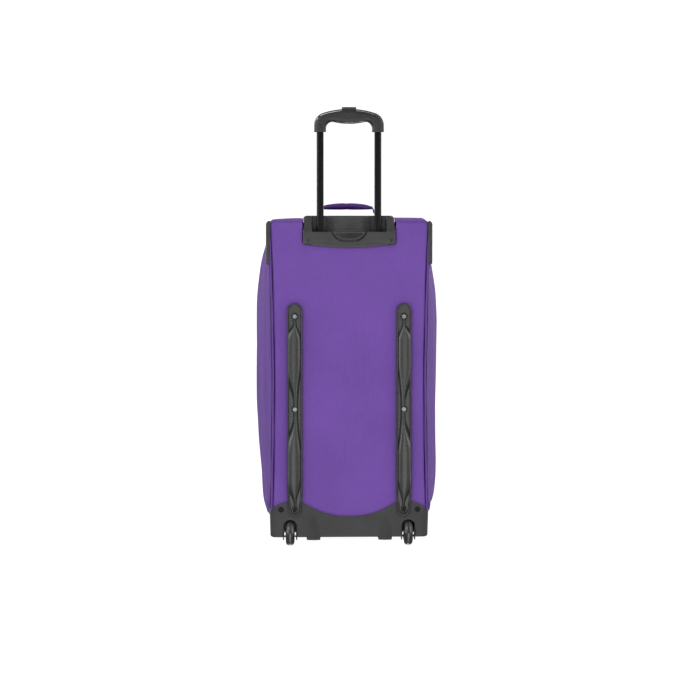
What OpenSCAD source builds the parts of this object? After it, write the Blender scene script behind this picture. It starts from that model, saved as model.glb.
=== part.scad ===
// Softside trolley bag on two wheels, with a two-stage pull handle.
// X runs across the bag, +Y points to the front with the lid, and +Z is up.
// The origin lies on the floor, under the middle of the bounding box.

/* [Bag] */
// Width of the moulded base tray
tray_w = 332; // [328:1:336]
// Height of the bag's top above the floor
bag_h = 680; // [670:1:690]
// Depth from the back panel's outer face to the front border's outer face
bag_d = 290.8; // [286:0.2:291]
// How far each soft side panel swells past the straight line between its edges
side_bulge = 36.5; // [24:0.5:40]
// Thickness of the padded fabric panels
panel_t = 3; // [2.4:0.2:3]
// Height of the tray's underside above the floor
floor_h = 20; // [18:1:21]
// Height of the tray's low side and front walls above the floor
tray_low = 50; // [46:1:52]

/* [Trolley handle] */
// Distance between the two tubes' centres
tube_gap = 120.6; // [118:0.2:122]
// Width of the upper tubes
tube_w = 14.8; // [14:0.2:15]
// Depth of the upper tubes
tube_d = 10; // [9:0.2:10]
// Length of upper tube that shows between the housing and the grip
stage_out = 220; // [200:5:230]
// Outer width of the grip
grip_w = 146; // [145:1:148]
// Depth of the grip, front to back
grip_d = 26; // [24:1:27]
// Travel of the release button
button_travel = 4; // [3:0.5:4]

/* [Wheels and rails] */
// Radius of the wheels
wheel_r = 29; // [28:0.5:30]
// Width of the wheels
wheel_w = 19; // [17:1:19]
// Distance between the two wheels' middles
wheel_track = 248; // [244:1:250]
// Width of the skid rails
rail_w = 33; // [30:1:34]
// Distance between the two rails' middles
rail_track = 228; // [226:1:230]

/* [Hidden] */
$fn = 48;

fabric = "mediumpurple";
plastic = [0.16, 0.16, 0.17];
tube_finish = [0.08, 0.08, 0.09];
steel = "silver";

// Clearances
gap = 0.2;
fit = 0.1;
running = 0.03;

// Bag levels and planes
y_back = -150;
y_front = y_back + bag_d;
tray_t = 3;
y_tray = y_back - tray_t;
y_tray_front = y_front + gap + tray_t;
corner_r = 14;
hump_z = 96;
corner_z = 82;
valley_z = 65;
valley_half = 98;
side_y0 = y_back + panel_t + 0.6;
side_y1 = y_front - panel_t - gap;
side_top = bag_h - panel_t - 1;

// Trolley handle levels and planes
tube_x = tube_gap / 2;
tube_y = -136;
tube_wall = 1.2;
tube_play = 0.4;
mid_w = tube_w + 2 * (tube_play + tube_wall);
mid_d = tube_d + 2 * (tube_play + tube_wall);
outer_w = mid_w + 2 * (tube_play + tube_wall);
outer_d = mid_d + 2 * (tube_play + tube_wall);
housing_x = 97;
housing_top = bag_h + 14;
lip_z = bag_h - 20;
recess_z = bag_h - 39;
recess_x = 78;
housing_t = 3.5;
y_lip = y_back - 7;
lip_t = 5;
y_cup = -117;
board_top = recess_z - 13;
leg_z = recess_z + 6 + stage_out;
grip_bar = 30;
grip_rise = 17;
grip_top = leg_z + grip_rise + grip_bar;
leg_w = 25.4;
grip_wall = 2.4;
y_grip0 = tube_y - grip_d / 2;
y_grip1 = tube_y + grip_d / 2;
inner_low = leg_z - 267;
inner_top = leg_z + grip_rise + 2;
plug_low = inner_low - 12;
mid_low = plug_low - stage_out - 3;
mid_top = recess_z + 4;
outer_low = 60;
outer_top = recess_z - gap;
grip_screw_x = [-44, 44];
grip_screw_z = grip_top - 21;
yoke_z = grip_top - 13 - button_travel;
yoke_h = 4;
spring_low = grip_top - grip_bar + grip_wall + 0.6;
spring_r = 4;
spring_wire = 0.6;
pin_z = plug_low + 6;

// Wheels
wheel_x = wheel_track / 2;
wheel_y = -165 + 29;
well_gap = 3;
cheek_t = 2.5;
well_half = wheel_w / 2 + well_gap;
well_r = wheel_r + 3;
axle_r = 4;
bearing_r = 11;
bearing_w = 7;
hub_r = 17;
boss_r = 8;
boss_end = well_half + cheek_t + 1.5;

// Front feet
foot_x = 118;
foot_y = 98;

// Skid rails
rail_x = rail_track / 2;
rail_low = 66;
rail_top = bag_h - 168;
rail_floor = y_back - 5.5;
rail_rim = y_back - 9.5;
rail_spine = y_back - 12;
rail_screw_z = [80, 290, rail_top - 28];
tray_screw = [143, 79];

// Front opening
open_half = 154;
open_low = 58;
open_high = bag_h - 14;
open_mid = (open_low + open_high) / 2;
open_h = open_high - open_low;
lid_t = 6.3;
y_lid = y_front + 1.6;
y_lid_face = y_lid + lid_t;
pocket_half = 125;
pocket_low = 84;
pocket_high = 384;
y_pocket = 165;
pocket_zip_z = pocket_high + 14;
main_slider_z = 372;

// Carry handle
swing_z = bag_h + 7;
anchor_x = 64;
pad_half = 47;
pad_low = bag_h + 20;
pad_t = 14;
pad_w = 32;
web_w = 25;
web_t = 2.4;

// Points round an arc from angle a to angle b
function arc(cx, cy, r, a, b, n) =
    [for (i = [0:n]) [cx + r * cos(a + (b - a) * i / n), cy + r * sin(a + (b - a) * i / n)]];

// Rectangle about the origin with round corners
function round_rect(w, d, r, n = 6) = concat(
    arc(w / 2 - r, d / 2 - r, r, 0, 90, n),
    arc(r - w / 2, d / 2 - r, r, 90, 180, n),
    arc(r - w / 2, r - d / 2, r, 180, 270, n),
    arc(w / 2 - r, r - d / 2, r, 270, 360, n)
);

// Upright slot shape of width w between heights low and high
function slot(w, low, high, n = 12) =
    concat(arc(0, high - w / 2, w / 2, 0, 180, n), arc(0, low + w / 2, w / 2, 180, 360, n));

// Half width of the back panel at height z: it is drawn in at mid height
function back_half(z) =
    let (s = max(0, min(1, (z - corner_z) / (side_top - corner_z))))
    tray_w / 2 - 5 + 4 * s - 6 * sin(180 * s);

// Lower edge of a side panel, which follows the tray's rim
function rim_z(y) =
    y < y_tray + 40 ? corner_z + 1 :
    y < y_tray + 90 ? corner_z + 1 - (corner_z - tray_low) * (y - y_tray - 40) / 50 :
    tray_low + 1;

module both() {
    children();
    mirror([1, 0, 0]) children();
}

module along_x(x0, x1) {
    translate([x0, 0, 0]) rotate([90, 0, 90]) linear_extrude(x1 - x0) children();
}

module along_y(y0, y1) {
    translate([0, y1, 0]) rotate([90, 0, 0]) linear_extrude(y1 - y0) children();
}

module bar_x(x0, x1, y, z, r) {
    translate([x0, y, z]) rotate([0, 90, 0]) cylinder(h = x1 - x0, r = r);
}

module bar_y(x, z, y0, y1, r) {
    translate([x, y1, z]) rotate([90, 0, 0]) cylinder(h = y1 - y0, r = r);
}

module block(low, high) {
    translate(low) cube(high - low);
}

// Closed skin through equal rings of points
module ring_body(rings) {
    m = len(rings[0]);
    n = len(rings);
    points = [for (ring = rings) for (p = ring) p];
    sides = [
        for (k = [0:n - 2]) for (i = [0:m - 1])
            let (j = (i + 1) % m)
            for (t = [[k * m + i, k * m + m + i, k * m + m + j], [k * m + i, k * m + m + j, k * m + j]]) t
    ];
    caps = [[for (i = [0:m - 1]) i], [for (i = [m - 1:-1:0]) (n - 1) * m + i]];
    polyhedron(points = points, faces = concat(sides, caps), convexity = 6);
}

// Straight tube section at the two handle tubes
module tube(x, w, d, low, high) {
    translate([x, tube_y, low]) linear_extrude(high - low) difference() {
        polygon(round_rect(w, d, 3.6));
        polygon(round_rect(w - 2 * tube_wall, d - 2 * tube_wall, 2.4));
    }
}

// Collar of outer size w by d round a hole of hole_w by hole_d
module collar(x, w, d, hole_w, hole_d, low, high) {
    translate([x, tube_y, low]) linear_extrude(high - low) difference() {
        polygon(round_rect(w, d, 4));
        polygon(round_rect(hole_w, hole_d, 2.6));
    }
}

// Pan-head screw along Y with its head towards the back
module back_screw(x, z, y_head, head_r, shank_r, length) {
    difference() {
        bar_y(x, z, y_head, y_head + 1.9, head_r);
        translate([x - 2.2, y_head - 1, z - 0.4]) cube([4.4, 1.9, 0.8]);
        translate([x - 0.4, y_head - 1, z - 2.2]) cube([0.8, 1.9, 4.4]);
    }
    bar_y(x, z, y_head + 1.9, y_head + 1.9 + length, shank_r);
}

// Outside of one wheel housing, grown by g
module well_block(g) {
    half = well_half + cheek_t + g;
    r = well_r + cheek_t + g;
    intersection() {
        union() {
            bar_x(wheel_x - half, wheel_x + half, wheel_y, wheel_r, r);
            block([wheel_x - half, wheel_y - r, 0], [wheel_x + half, wheel_y + r, wheel_r]);
        }
        block([0, y_tray - g, 14 - g], [300, wheel_y + 2 * r, 200]);
    }
}

module rear_bores(r) {
    for (z = rail_screw_z) bar_y(rail_x, z, y_back - 20, y_back + 12, r);
    bar_y(tray_screw[0], tray_screw[1], y_back - 20, y_back + 12, r);
}

module base_tray() {
    valley_r = (pow(valley_half, 2) + pow(hump_z - valley_z, 2)) / (2 * (hump_z - valley_z));
    mid_y = (y_tray + y_tray_front) / 2;
    depth = y_tray_front - y_tray;
    color(plastic) difference() {
        union() {
            difference() {
                translate([0, mid_y, floor_h]) linear_extrude(hump_z - floor_h)
                    polygon(round_rect(tray_w, depth, corner_r));
                translate([0, mid_y, floor_h + tray_t]) linear_extrude(hump_z)
                    polygon(round_rect(tray_w - 2 * tray_t, depth - 2 * tray_t, corner_r - tray_t));
                bar_y(0, valley_z + valley_r, y_tray - 1, y_tray + 20, valley_r);
                both() along_y(y_tray - 1, y_tray_front + 1) polygon([
                    [rail_x + 23, hump_z + 1], [rail_x + 23, hump_z],
                    [tray_w / 2 - 4, corner_z], [tray_w, corner_z], [tray_w, hump_z + 1]
                ]);
                along_x(-tray_w, tray_w) polygon([
                    [y_tray + 40, hump_z + 1], [y_tray + 40, corner_z], [y_tray + 90, tray_low],
                    [y_tray_front + 9, tray_low], [y_tray_front + 9, hump_z + 1]
                ]);
            }
            both() tray_bump();
        }
        both() well_block(gap);
        both() bar_x(wheel_x - boss_end - 2, wheel_x + boss_end + 2, wheel_y, wheel_r, boss_r + gap);
        both() rear_bores(2);
        both() translate([foot_x, foot_y, floor_h - 1]) cylinder(h = 9, r = 2.1);
    }
}

// Pointed-arch skid bump on the tray's back and lower edge
module tray_bump() {
    translate([75, 0, 0]) along_y(y_tray - 4.5, y_tray + 1)
        polygon(concat(
            [[-14.7, 15], [14.7, 15], [13.4, 34]],
            arc(-5.8, 36, 19, 4, 58, 6),
            [for (p = [6:-1:0]) let (a = 4 + 54 * p / 6) [5.8 - 19 * cos(a), 36 + 19 * sin(a)]],
            [[-13.4, 34]]
        ));
    block([60.3, y_tray - 4.5, 15], [89.7, y_tray + 26, floor_h + 0.5]);
}

module bottom_board() {
    back_half_w = wheel_x - well_half - cheek_t - 3;
    color([0.25, 0.25, 0.27]) translate([0, 0, floor_h + tray_t + gap]) linear_extrude(2) difference() {
        polygon([
            [-156, wheel_y + 38], [-back_half_w, wheel_y + 38], [-back_half_w, y_back + 20],
            [back_half_w, y_back + 20], [back_half_w, wheel_y + 38], [156, wheel_y + 38],
            [156, y_front - 6], [-156, y_front - 6]
        ]);
        for (s = [-1, 1]) translate([s * foot_x, foot_y]) circle(r = 5);
    }
}

module wheel_housing() {
    color(plastic) difference() {
        union() {
            well_block(0);
            bar_x(wheel_x - boss_end, wheel_x + boss_end, wheel_y, wheel_r, boss_r);
        }
        bar_x(wheel_x - well_half, wheel_x + well_half, wheel_y, wheel_r, well_r);
        block([wheel_x - well_half, y_tray - 9, -1], [wheel_x + well_half, wheel_y + well_r, wheel_r]);
        bar_x(wheel_x - 30, wheel_x + 30, wheel_y, wheel_r, axle_r + fit);
    }
}

module wheel_housing_left() { mirror([1, 0, 0]) wheel_housing(); }
module wheel_housing_right() { wheel_housing(); }

module wheel_axles() {
    color(steel) both() {
        bar_x(wheel_x - boss_end - 1.2, wheel_x + boss_end + gap, wheel_y, wheel_r, axle_r);
        bar_x(wheel_x + boss_end + gap, wheel_x + boss_end + gap + 1.4, wheel_y, wheel_r, 6.5);
        difference() {
            bar_x(wheel_x - boss_end - 1.4, wheel_x - boss_end - 0.2, wheel_y, wheel_r, 6.5);
            bar_x(wheel_x - boss_end - 2, wheel_x - boss_end, wheel_y, wheel_r, axle_r + 0.02);
        }
        for (s = [-1, 1]) difference() {
            bar_x(wheel_x + s * (well_half + bearing_w + 2) / 2 - 1.5,
                  wheel_x + s * (well_half + bearing_w + 2) / 2 + 1.5, wheel_y, wheel_r, 6);
            bar_x(wheel_x - 30, wheel_x + 30, wheel_y, wheel_r, axle_r + 0.02);
        }
    }
}

// Half width of the rail's middle spine: slim at the screws, full between them
function spine_half(z) =
    let (
        k = z < rail_screw_z[1] ? 0 : 1,
        s = max(0, min(1, (z - rail_screw_z[k]) / (rail_screw_z[k + 1] - rail_screw_z[k])))
    )
    2 + 5.5 * pow(sin(180 * s), 3);

module skid_rail() {
    steps = 28;
    low = rail_low + 10;
    high = rail_top - 12;
    spine = [for (i = [0:steps]) low + (high - low) * i / steps];
    color(plastic) translate([rail_x, 0, 0]) difference() {
        union() {
            along_y(rail_floor, y_back - gap) polygon(slot(rail_w, rail_low + 8, rail_top));
            along_y(rail_rim, rail_floor) difference() {
                polygon(slot(rail_w, rail_low + 8, rail_top));
                polygon(slot(rail_w - 8, rail_low + 12, rail_top - 4));
            }
            along_y(rail_rim, rail_floor + 1) difference() {
                polygon(slot(rail_w - 9, rail_low, hump_z + 8));
                polygon(slot(rail_w - 17, rail_low + 4, hump_z + 9));
            }
            along_y(rail_spine, rail_floor) polygon(concat(
                [for (z = spine) [spine_half(z), z]],
                [for (i = [steps:-1:0]) [-spine_half(spine[i]), spine[i]]]
            ));
            for (z = rail_screw_z) bar_y(0, z, rail_rim, rail_floor, 7.5);
        }
        block([-rail_w, y_tray - gap, 0], [rail_w, 0, hump_z + gap]);
        for (z = rail_screw_z) {
            bar_y(0, z, y_back - 20, y_back, 2);
            bar_y(0, z, y_back - 20, y_back - 7.6, 5);
        }
    }
}

module skid_rail_left() { mirror([1, 0, 0]) skid_rail(); }
module skid_rail_right() { skid_rail(); }

module rear_screws() {
    color([0.3, 0.3, 0.31]) both() {
        for (z = rail_screw_z) back_screw(rail_x, z, y_back - 9.6, 4.2, 1.8, 15);
        back_screw(tray_screw[0], tray_screw[1], y_tray - 2.1, 4.2, 1.8, 12);
    }
}

module back_board() {
    color([0.82, 0.82, 0.8]) difference() {
        along_y(y_back + panel_t + gap, y_back + panel_t + gap + 1.8)
            polygon([
                [-150, corner_z - 12], [150, corner_z - 12], [150, board_top], [-150, board_top]
            ]);
        both() rear_bores(1.9);
    }
}

// Back outline of the handle housing's skirt, with its arched lower edge
function skirt_outline() = concat(
    [for (i = [-10:10]) [housing_x * 0.9 * i / 10, recess_z - 14 + 8 * pow(i / 10, 2)]],
    arc(housing_x - 12, recess_z + 4, 12, -60, 0, 4),
    arc(12 - housing_x, recess_z + 4, 12, 180, 240, 4)
);

module handle_housing() {
    color(plastic) difference() {
        union() {
            along_y(y_lip, y_back - gap) polygon(skirt_outline());
            along_y(y_lip, y_cup) polygon(concat(
                [[-housing_x, recess_z - 3], [housing_x, recess_z - 3]],
                arc(housing_x - 14, housing_top - 14, 14, 0, 90, 8),
                arc(14 - housing_x, housing_top - 14, 14, 90, 180, 8)
            ));
        }
        block([-recess_x, y_lip + lip_t, recess_z], [recess_x, y_cup - housing_t, housing_top + 1]);
        along_x(-120, 120) polygon(concat(
            [[y_lip - 1, lip_z], [y_lip + lip_t + 2, lip_z]],
            arc(y_lip + lip_t + 2, lip_z + 14, 14, 270, 330, 5),
            [[y_cup - 11, housing_top - 4], [y_cup - 7, housing_top + 1], [y_lip - 1, housing_top + 1]]
        ));
        along_y(y_lip - 1, y_lip + 2.8) polygon([
            [-38, lip_z + 1], [-27, recess_z + 1], [27, recess_z + 1], [38, lip_z + 1]
        ]);
        both() translate([tube_x, tube_y, recess_z - 9]) linear_extrude(20)
            polygon(round_rect(outer_w + 3.4, outer_d + 3.4, 4.2));
        both() bar_y(40, recess_z - 7, y_lip + 2, y_back + 9, 1.4);
    }
}

module housing_screws() {
    color(steel) both() {
        bar_y(40, recess_z - 7, y_lip + 2.4, y_back + panel_t + gap, 1.3);
        bar_y(40, recess_z - 7, y_back + panel_t + gap, y_back + panel_t + gap + 1.8, 3.2);
    }
}

module outer_tube(x) {
    color(tube_finish) difference() {
        tube(x, outer_w, outer_d, outer_low, outer_top);
        for (z = [mid_low + 12, mid_low + 182])
            bar_x(x > 0 ? x : x - 20, x > 0 ? x + 20 : x, tube_y, z, 2.4);
    }
}

module outer_tube_left() { outer_tube(-tube_x); }
module outer_tube_right() { outer_tube(tube_x); }

module outer_collars() {
    color(plastic) for (x = [-tube_x, tube_x]) {
        collar(x, outer_w + 6, outer_d + 6, mid_w + 0.6, mid_d + 0.6, recess_z + fit, recess_z + 2.1);
        collar(x, outer_w + 3, outer_d + 3, outer_w + fit * 2, outer_d + fit * 2,
               recess_z - 12, recess_z + fit);
    }
}

module tube_bracket() {
    color(plastic) difference() {
        union() {
            block([-tube_x - 20, y_back + panel_t + gap, outer_low - 18],
                  [tube_x + 20, tube_y + outer_d / 2 + 4, outer_low]);
            for (x = [-tube_x, tube_x])
                block([x - outer_w / 2 - 3, tube_y - outer_d / 2 - 1.5, outer_low],
                      [x + outer_w / 2 + 3, tube_y + outer_d / 2 + 3, outer_low + 24]);
        }
        for (x = [-tube_x, tube_x])
            translate([x, tube_y, outer_low - 10]) linear_extrude(60)
                polygon(round_rect(outer_w + 2 * fit, outer_d + 2 * fit, 3.7));
        block([-60, y_back, outer_low - 30], [60, tube_y + 30, outer_low - 12]);
        block([-tube_x - 21, y_back, outer_low],
              [tube_x + 21, y_back + panel_t + gap + 2.2, outer_low + 30]);
    }
}

module front_feet() {
    color([0.1, 0.1, 0.1]) both() translate([foot_x, foot_y, 0]) {
        linear_extrude(5) polygon(round_rect(44, 20, 9));
        translate([0, 0, 5]) linear_extrude(floor_h - 5 - gap) polygon(round_rect(52, 26, 12));
        translate([0, 0, floor_h - 1]) cylinder(h = 4.4, r = 2);
        translate([0, 0, floor_h + 3.3]) cylinder(h = 2, r = 4);
    }
}

// Sprung wire hoop that holds the front opening in shape
module opening_frame() {
    r = 1.5;
    bend = 30;
    half = open_half + 2;
    low = open_low - 10;
    high = open_high + 4;
    y = y_front - 14;
    color(steel) {
        for (x = [-half, half]) translate([x, y, low + bend]) cylinder(h = high - low - 2 * bend, r = r);
        for (z = [low, high]) bar_x(bend - half, half - bend, y, z, r);
        for (c = [[half - bend, high - bend, 0], [bend - half, high - bend, 90],
                  [bend - half, low + bend, 180], [half - bend, low + bend, 270]])
            translate([c[0], y, c[1]]) rotate([90, 0, 0]) rotate([0, 0, c[2]])
                rotate_extrude(angle = 90) translate([bend, 0]) circle(r = r);
    }
}

module back_panel() {
    steps = 16;
    low = floor_h + tray_t + 1;
    edge = [for (i = [0:steps]) low + (side_top - low) * i / steps];
    color(fabric) difference() {
        along_y(y_back, y_back + panel_t) polygon(concat(
            [for (z = edge) [back_half(z) - 0.6, z]],
            [for (i = [steps:-1:0]) [0.6 - back_half(edge[i]), edge[i]]]
        ));
        both() rear_bores(2.2);
        both() well_block(gap + 0.2);
        both() block([tray_w / 2 - corner_r - gap, y_back - 1, 0], [tray_w, y_back + 9, corner_z + 7]);
        block([-housing_x - gap, y_back - 1, recess_z - 3 - gap], [housing_x + gap, y_cup, bag_h]);
        both() bar_y(40, recess_z - 7, y_back - 9, y_back + 9, 1.6);
    }
}

// Outer face of a side panel at depth share u and height share t
function side_point(u, t, inset) =
    let (
        y = side_y0 + (side_y1 - side_y0) * u,
        z = rim_z(y) + (side_top - rim_z(y)) * t,
        base = back_half(z) * (1 - u) + (tray_w / 2 - 1) * u,
        swell = side_bulge * pow(max(0, sin(180 * u)), 0.75) * pow(max(0, sin(180 * t)), 0.45)
    )
    [base + swell - inset, y, z];

module side_panel() {
    nu = 14;
    nt = 20;
    grid = [for (k = [0, 1]) for (i = [0:nu]) for (j = [0:nt])
        side_point((1 - cos(180 * i / nu)) / 2, (1 - cos(180 * j / nt)) / 2, k * panel_t)];
    function id(k, i, j) = (k * (nu + 1) + i) * (nt + 1) + j;
    function quad(a, b, c, d) = [[a, b, c], [a, c, d]];
    skins = [for (i = [0:nu - 1]) for (j = [0:nt - 1]) for (f = concat(
        quad(id(0, i, j), id(0, i, j + 1), id(0, i + 1, j + 1), id(0, i + 1, j)),
        quad(id(1, i, j), id(1, i + 1, j), id(1, i + 1, j + 1), id(1, i, j + 1))
    )) f];
    upright = [for (j = [0:nt - 1]) for (f = concat(
        quad(id(1, 0, j), id(1, 0, j + 1), id(0, 0, j + 1), id(0, 0, j)),
        quad(id(0, nu, j), id(0, nu, j + 1), id(1, nu, j + 1), id(1, nu, j))
    )) f];
    level = [for (i = [0:nu - 1]) for (f = concat(
        quad(id(0, i, 0), id(0, i + 1, 0), id(1, i + 1, 0), id(1, i, 0)),
        quad(id(0, i + 1, nt), id(0, i, nt), id(1, i, nt), id(1, i + 1, nt))
    )) f];
    color(fabric) polyhedron(points = grid, faces = concat(skins, upright, level), convexity = 8);
}

module side_panel_left() { mirror([1, 0, 0]) side_panel(); }
module side_panel_right() { side_panel(); }

module top_panel() {
    half = tray_w / 2 - 1.5;
    color(fabric) difference() {
        translate([0, 0, bag_h - panel_t]) linear_extrude(panel_t) polygon([
            [-half, y_back + 0.4], [half, y_back + 0.4], [half, y_front - 0.4], [-half, y_front - 0.4]
        ]);
        block([-housing_x - gap, y_back - 1, 0], [housing_x + gap, y_cup + gap, bag_h + 1]);
    }
}

module front_border() {
    low = floor_h + tray_t + 1;
    high = bag_h - panel_t - 0.8;
    color(fabric) along_y(y_front - panel_t, y_front) difference() {
        translate([0, (low + high) / 2]) polygon(round_rect(tray_w - 2 * tray_t - 0.6, high - low, 10));
        translate([0, open_mid]) polygon(round_rect(2 * open_half - 5, open_h - 5, 27));
        for (s = [-1, 1]) translate([s * (tray_w - corner_r - gap), 0])
            square([tray_w, 2 * (tray_low + gap)], center = true);
    }
}

module piping() {
    steps = 18;
    low = corner_z + 2;
    high = side_top - 1;
    levels = [for (i = [0:steps]) low + (high - low) * i / steps];
    ring_body([for (z = levels) [for (a = [0:45:315])
        [back_half(z) + 2 + 1.8 * cos(a), y_back + 0.4 + 1.8 * sin(a), z]]]);
}

module back_piping() { color([0.4, 0.25, 0.65]) both() piping(); }

module edge_guards() {
    edge = tray_w / 2 - 1;
    low = bag_h - 88;
    color(plastic) both() {
        translate([0, 0, low]) linear_extrude(bag_h - 1 - low) polygon(concat(
            [[edge, y_back - 1.8], [edge, y_back - 3.6]],
            arc(edge + 5, y_back + 0.4, 4, 270, 360, 6),
            [[edge + 9, y_back + 9], [edge + 7.2, y_back + 9]],
            arc(edge + 4.6, y_back + 0.8, 2.6, 360, 270, 6)
        ));
    }
}

module handle_anchors() {
    color(plastic) both() translate([anchor_x, 0, 0]) {
        difference() {
            union() {
                translate([0, 0, bag_h + gap]) linear_extrude(2) polygon(round_rect(30, 34, 5));
                for (s = [-1, 1]) along_x(s * 8 - 2, s * 8 + 2) polygon(concat(
                    [[-7, bag_h + 2], [7, bag_h + 2]], arc(0, swing_z, 4.6, 0, 180, 10)
                ));
            }
            bar_x(-11, 11, 0, swing_z, 2 + fit);
        }
        bar_x(-10.4, 10.4, 0, swing_z, 2);
    }
}

module zip_ring(y0, y1, outer, inner) {
    along_y(y0, y1) translate([0, open_mid]) difference() {
        polygon(round_rect(2 * (open_half + outer), open_h + 2 * outer, 30 + outer));
        polygon(round_rect(2 * (open_half + inner), open_h + 2 * inner, 30 + inner));
    }
}

module body_zip_tape() { color([0.1, 0.1, 0.11]) zip_ring(y_front + gap, y_front + 1.2, 6.5, 0.3); }

module back_lining() {
    color([0.2, 0.2, 0.22]) along_y(tube_y + outer_d / 2 + 1.2, tube_y + outer_d / 2 + 2.7)
        polygon([[-148, 86], [148, 86], [148, board_top], [-148, board_top]]);
}

module mid_tube(x) {
    color(tube_finish) difference() {
        tube(x, mid_w, mid_d, mid_low, mid_top);
        for (z = [pin_z, pin_z - stage_out])
            bar_x(x > 0 ? x : x - 20, x > 0 ? x + 20 : x, tube_y, z, 2.4);
    }
}

module mid_tube_left() { mid_tube(-tube_x); }
module mid_tube_right() { mid_tube(tube_x); }

module mid_collars() {
    color(plastic) for (x = [-tube_x, tube_x]) {
        collar(x, mid_w + 3, mid_d + 3, mid_w + 2 * fit, mid_d + 2 * fit, mid_top - 1.6, mid_top + fit);
        collar(x, mid_w + 3, mid_d + 3, tube_w + 0.5, tube_d + 0.5, mid_top + fit, mid_top + 1.4);
        collar(x, mid_w + 0.5, mid_d + 0.5, tube_w + 0.6, tube_d + 0.6, mid_low - 12, mid_low - fit);
    }
}

module inner_tube_left() { color(tube_finish) tube(-tube_x, tube_w, tube_d, inner_low, inner_top); }
module inner_tube_right() { color(tube_finish) tube(tube_x, tube_w, tube_d, inner_low, inner_top); }

module inner_plug() {
    translate([tube_x, tube_y, 0]) difference() {
        union() {
            translate([0, 0, plug_low]) linear_extrude(12 - fit)
                polygon(round_rect(tube_w + 0.2, tube_d + 0.2, 3));
            translate([0, 0, plug_low + 6]) linear_extrude(18)
                polygon(round_rect(tube_w - 2 * tube_wall - 0.2, tube_d - 2 * tube_wall - 0.2, 2.2));
        }
        block([-6.9, -3.2, pin_z - 2.2], [9, 3.2, pin_z + 2.2]);
        block([-2.4, -1.8, plug_low - 1], [2.4, 1.8, plug_low + 30]);
    }
}

module inner_plugs() { color([0.75, 0.75, 0.72]) both() inner_plug(); }

// Rod with a wedge at its foot, which draws the lock pin in as the rod goes down
module push_rod() {
    tip = pin_z - 3;
    translate([tube_x, 0, 0]) along_y(tube_y - 1.5, tube_y + 1.5) polygon([
        [0.4, tip], [1.8, tip], [1.8, yoke_z - fit], [-1.8, yoke_z - fit], [-1.8, tip + 4.4]
    ]);
}

module push_rods() { color(steel) both() push_rod(); }

module lock_pin() {
    nose = tube_w / 2 - 0.2;
    translate([tube_x, tube_y, pin_z]) difference() {
        union() {
            block([-4.6, -3, -2], [5.2, 3, 2]);
            bar_x(5.2, nose, 0, 0, 2);
        }
        along_y(-1.7, 1.7) polygon([[-0.3, -2.5], [4, -2.5], [4, 2.5], [-2.8, 2.5]]);
    }
}

module lock_pin_left() { color("gold") mirror([1, 0, 0]) lock_pin(); }
module lock_pin_right() { color("gold") lock_pin(); }

// Height of the grip's gently arched top edge at x
function grip_arch(x) = grip_top - 6 * pow(x / 46, 2);

// Height of the grip's underside at x: it hangs lowest in the middle
function grip_belly(x) = grip_top - grip_bar + 5.5 * pow(sin(90 * min(1, abs(x) / 34)), 2);

// Front outline of the grip: an arched bar with two legs
function grip_outline() = concat(
    [for (x = [46:-11.5:-46]) [x, grip_arch(x)]],
    arc(27 - grip_w / 2, grip_arch(46) - 28.2, 27, 104, 180, 8),
    [[-grip_w / 2, leg_z], [leg_w - grip_w / 2, leg_z]],
    arc(leg_w - grip_w / 2 + 13, grip_belly(34) - 13, 13, 180, 95, 6),
    [for (x = [-30:6:30]) [x, grip_belly(x)]],
    arc(grip_w / 2 - leg_w - 13, grip_belly(34) - 13, 13, 85, 0, 6),
    [[grip_w / 2 - leg_w, leg_z], [grip_w / 2, leg_z]],
    arc(grip_w / 2 - 27, grip_arch(46) - 28.2, 27, 0, 76, 8)
);

module grip_shell(y0, y1, cut0, cut1) {
    end = grip_w / 2 - 8;
    difference() {
        along_y(y0, y1) polygon(grip_outline());
        along_y(cut0, cut1) polygon(concat(
            [[-end, grip_belly(end) + grip_wall]],
            [for (x = [-34:4:34]) [x, grip_belly(x) + grip_wall]],
            [[end, grip_belly(end) + grip_wall], [end, yoke_z + yoke_h + 1]],
            [for (x = [44:-11:-44]) [x, grip_arch(x) - grip_wall - 0.6]],
            [[-end, yoke_z + yoke_h + 1]]
        ));
        both() translate([tube_x, tube_y, leg_z - 1]) linear_extrude(grip_rise + grip_wall + 8)
            polygon(round_rect(tube_w + 2 * fit, tube_d + 2 * fit, 3.7));
        translate([0, tube_y, grip_top - 9]) linear_extrude(20) polygon(round_rect(31.4, 14.4, 6));
    }
}

module screw_posts(y0, y1, r) {
    for (x = grip_screw_x) bar_y(x, grip_screw_z, y0, y1, r);
}

module grip_back_shell() {
    color(plastic) difference() {
        union() {
            grip_shell(y_grip0, tube_y - 0.05, y_grip0 + grip_wall, tube_y);
            screw_posts(y_grip0 + 1, tube_y - 4.2, 4);
        }
        screw_posts(tube_y - 9, tube_y, 1.2);
    }
}

module grip_front_shell() {
    color(plastic) difference() {
        union() {
            grip_shell(tube_y + 0.05, y_grip1, tube_y, y_grip1 - grip_wall);
            screw_posts(tube_y + 4.2, y_grip1 - 1, 4);
        }
        screw_posts(tube_y, y_grip1 + 1, 1.5);
        screw_posts(y_grip1 - 2, y_grip1 + 1, 3.2);
    }
}

module grip_screws() {
    color(steel) {
        screw_posts(tube_y - 8.4, y_grip1 - 2, 1.1);
        screw_posts(y_grip1 - 1.9, y_grip1 - 0.4, 2.9);
    }
}

module button_spring() {
    turns = 4;
    per_turn = 14;
    rise = yoke_z - spring_low - 2 * spring_wire - 0.3;
    color(steel) translate([0, tube_y, spring_low + spring_wire]) ring_body([
        for (i = [0:turns * per_turn])
            let (a = 360 * i / per_turn, z = rise * i / (turns * per_turn))
            [for (b = [0:60:300])
                let (r = spring_r - spring_wire * cos(b))
                [r * cos(a), r * sin(a), z + spring_wire * sin(b)]]
    ]);
}

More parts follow.
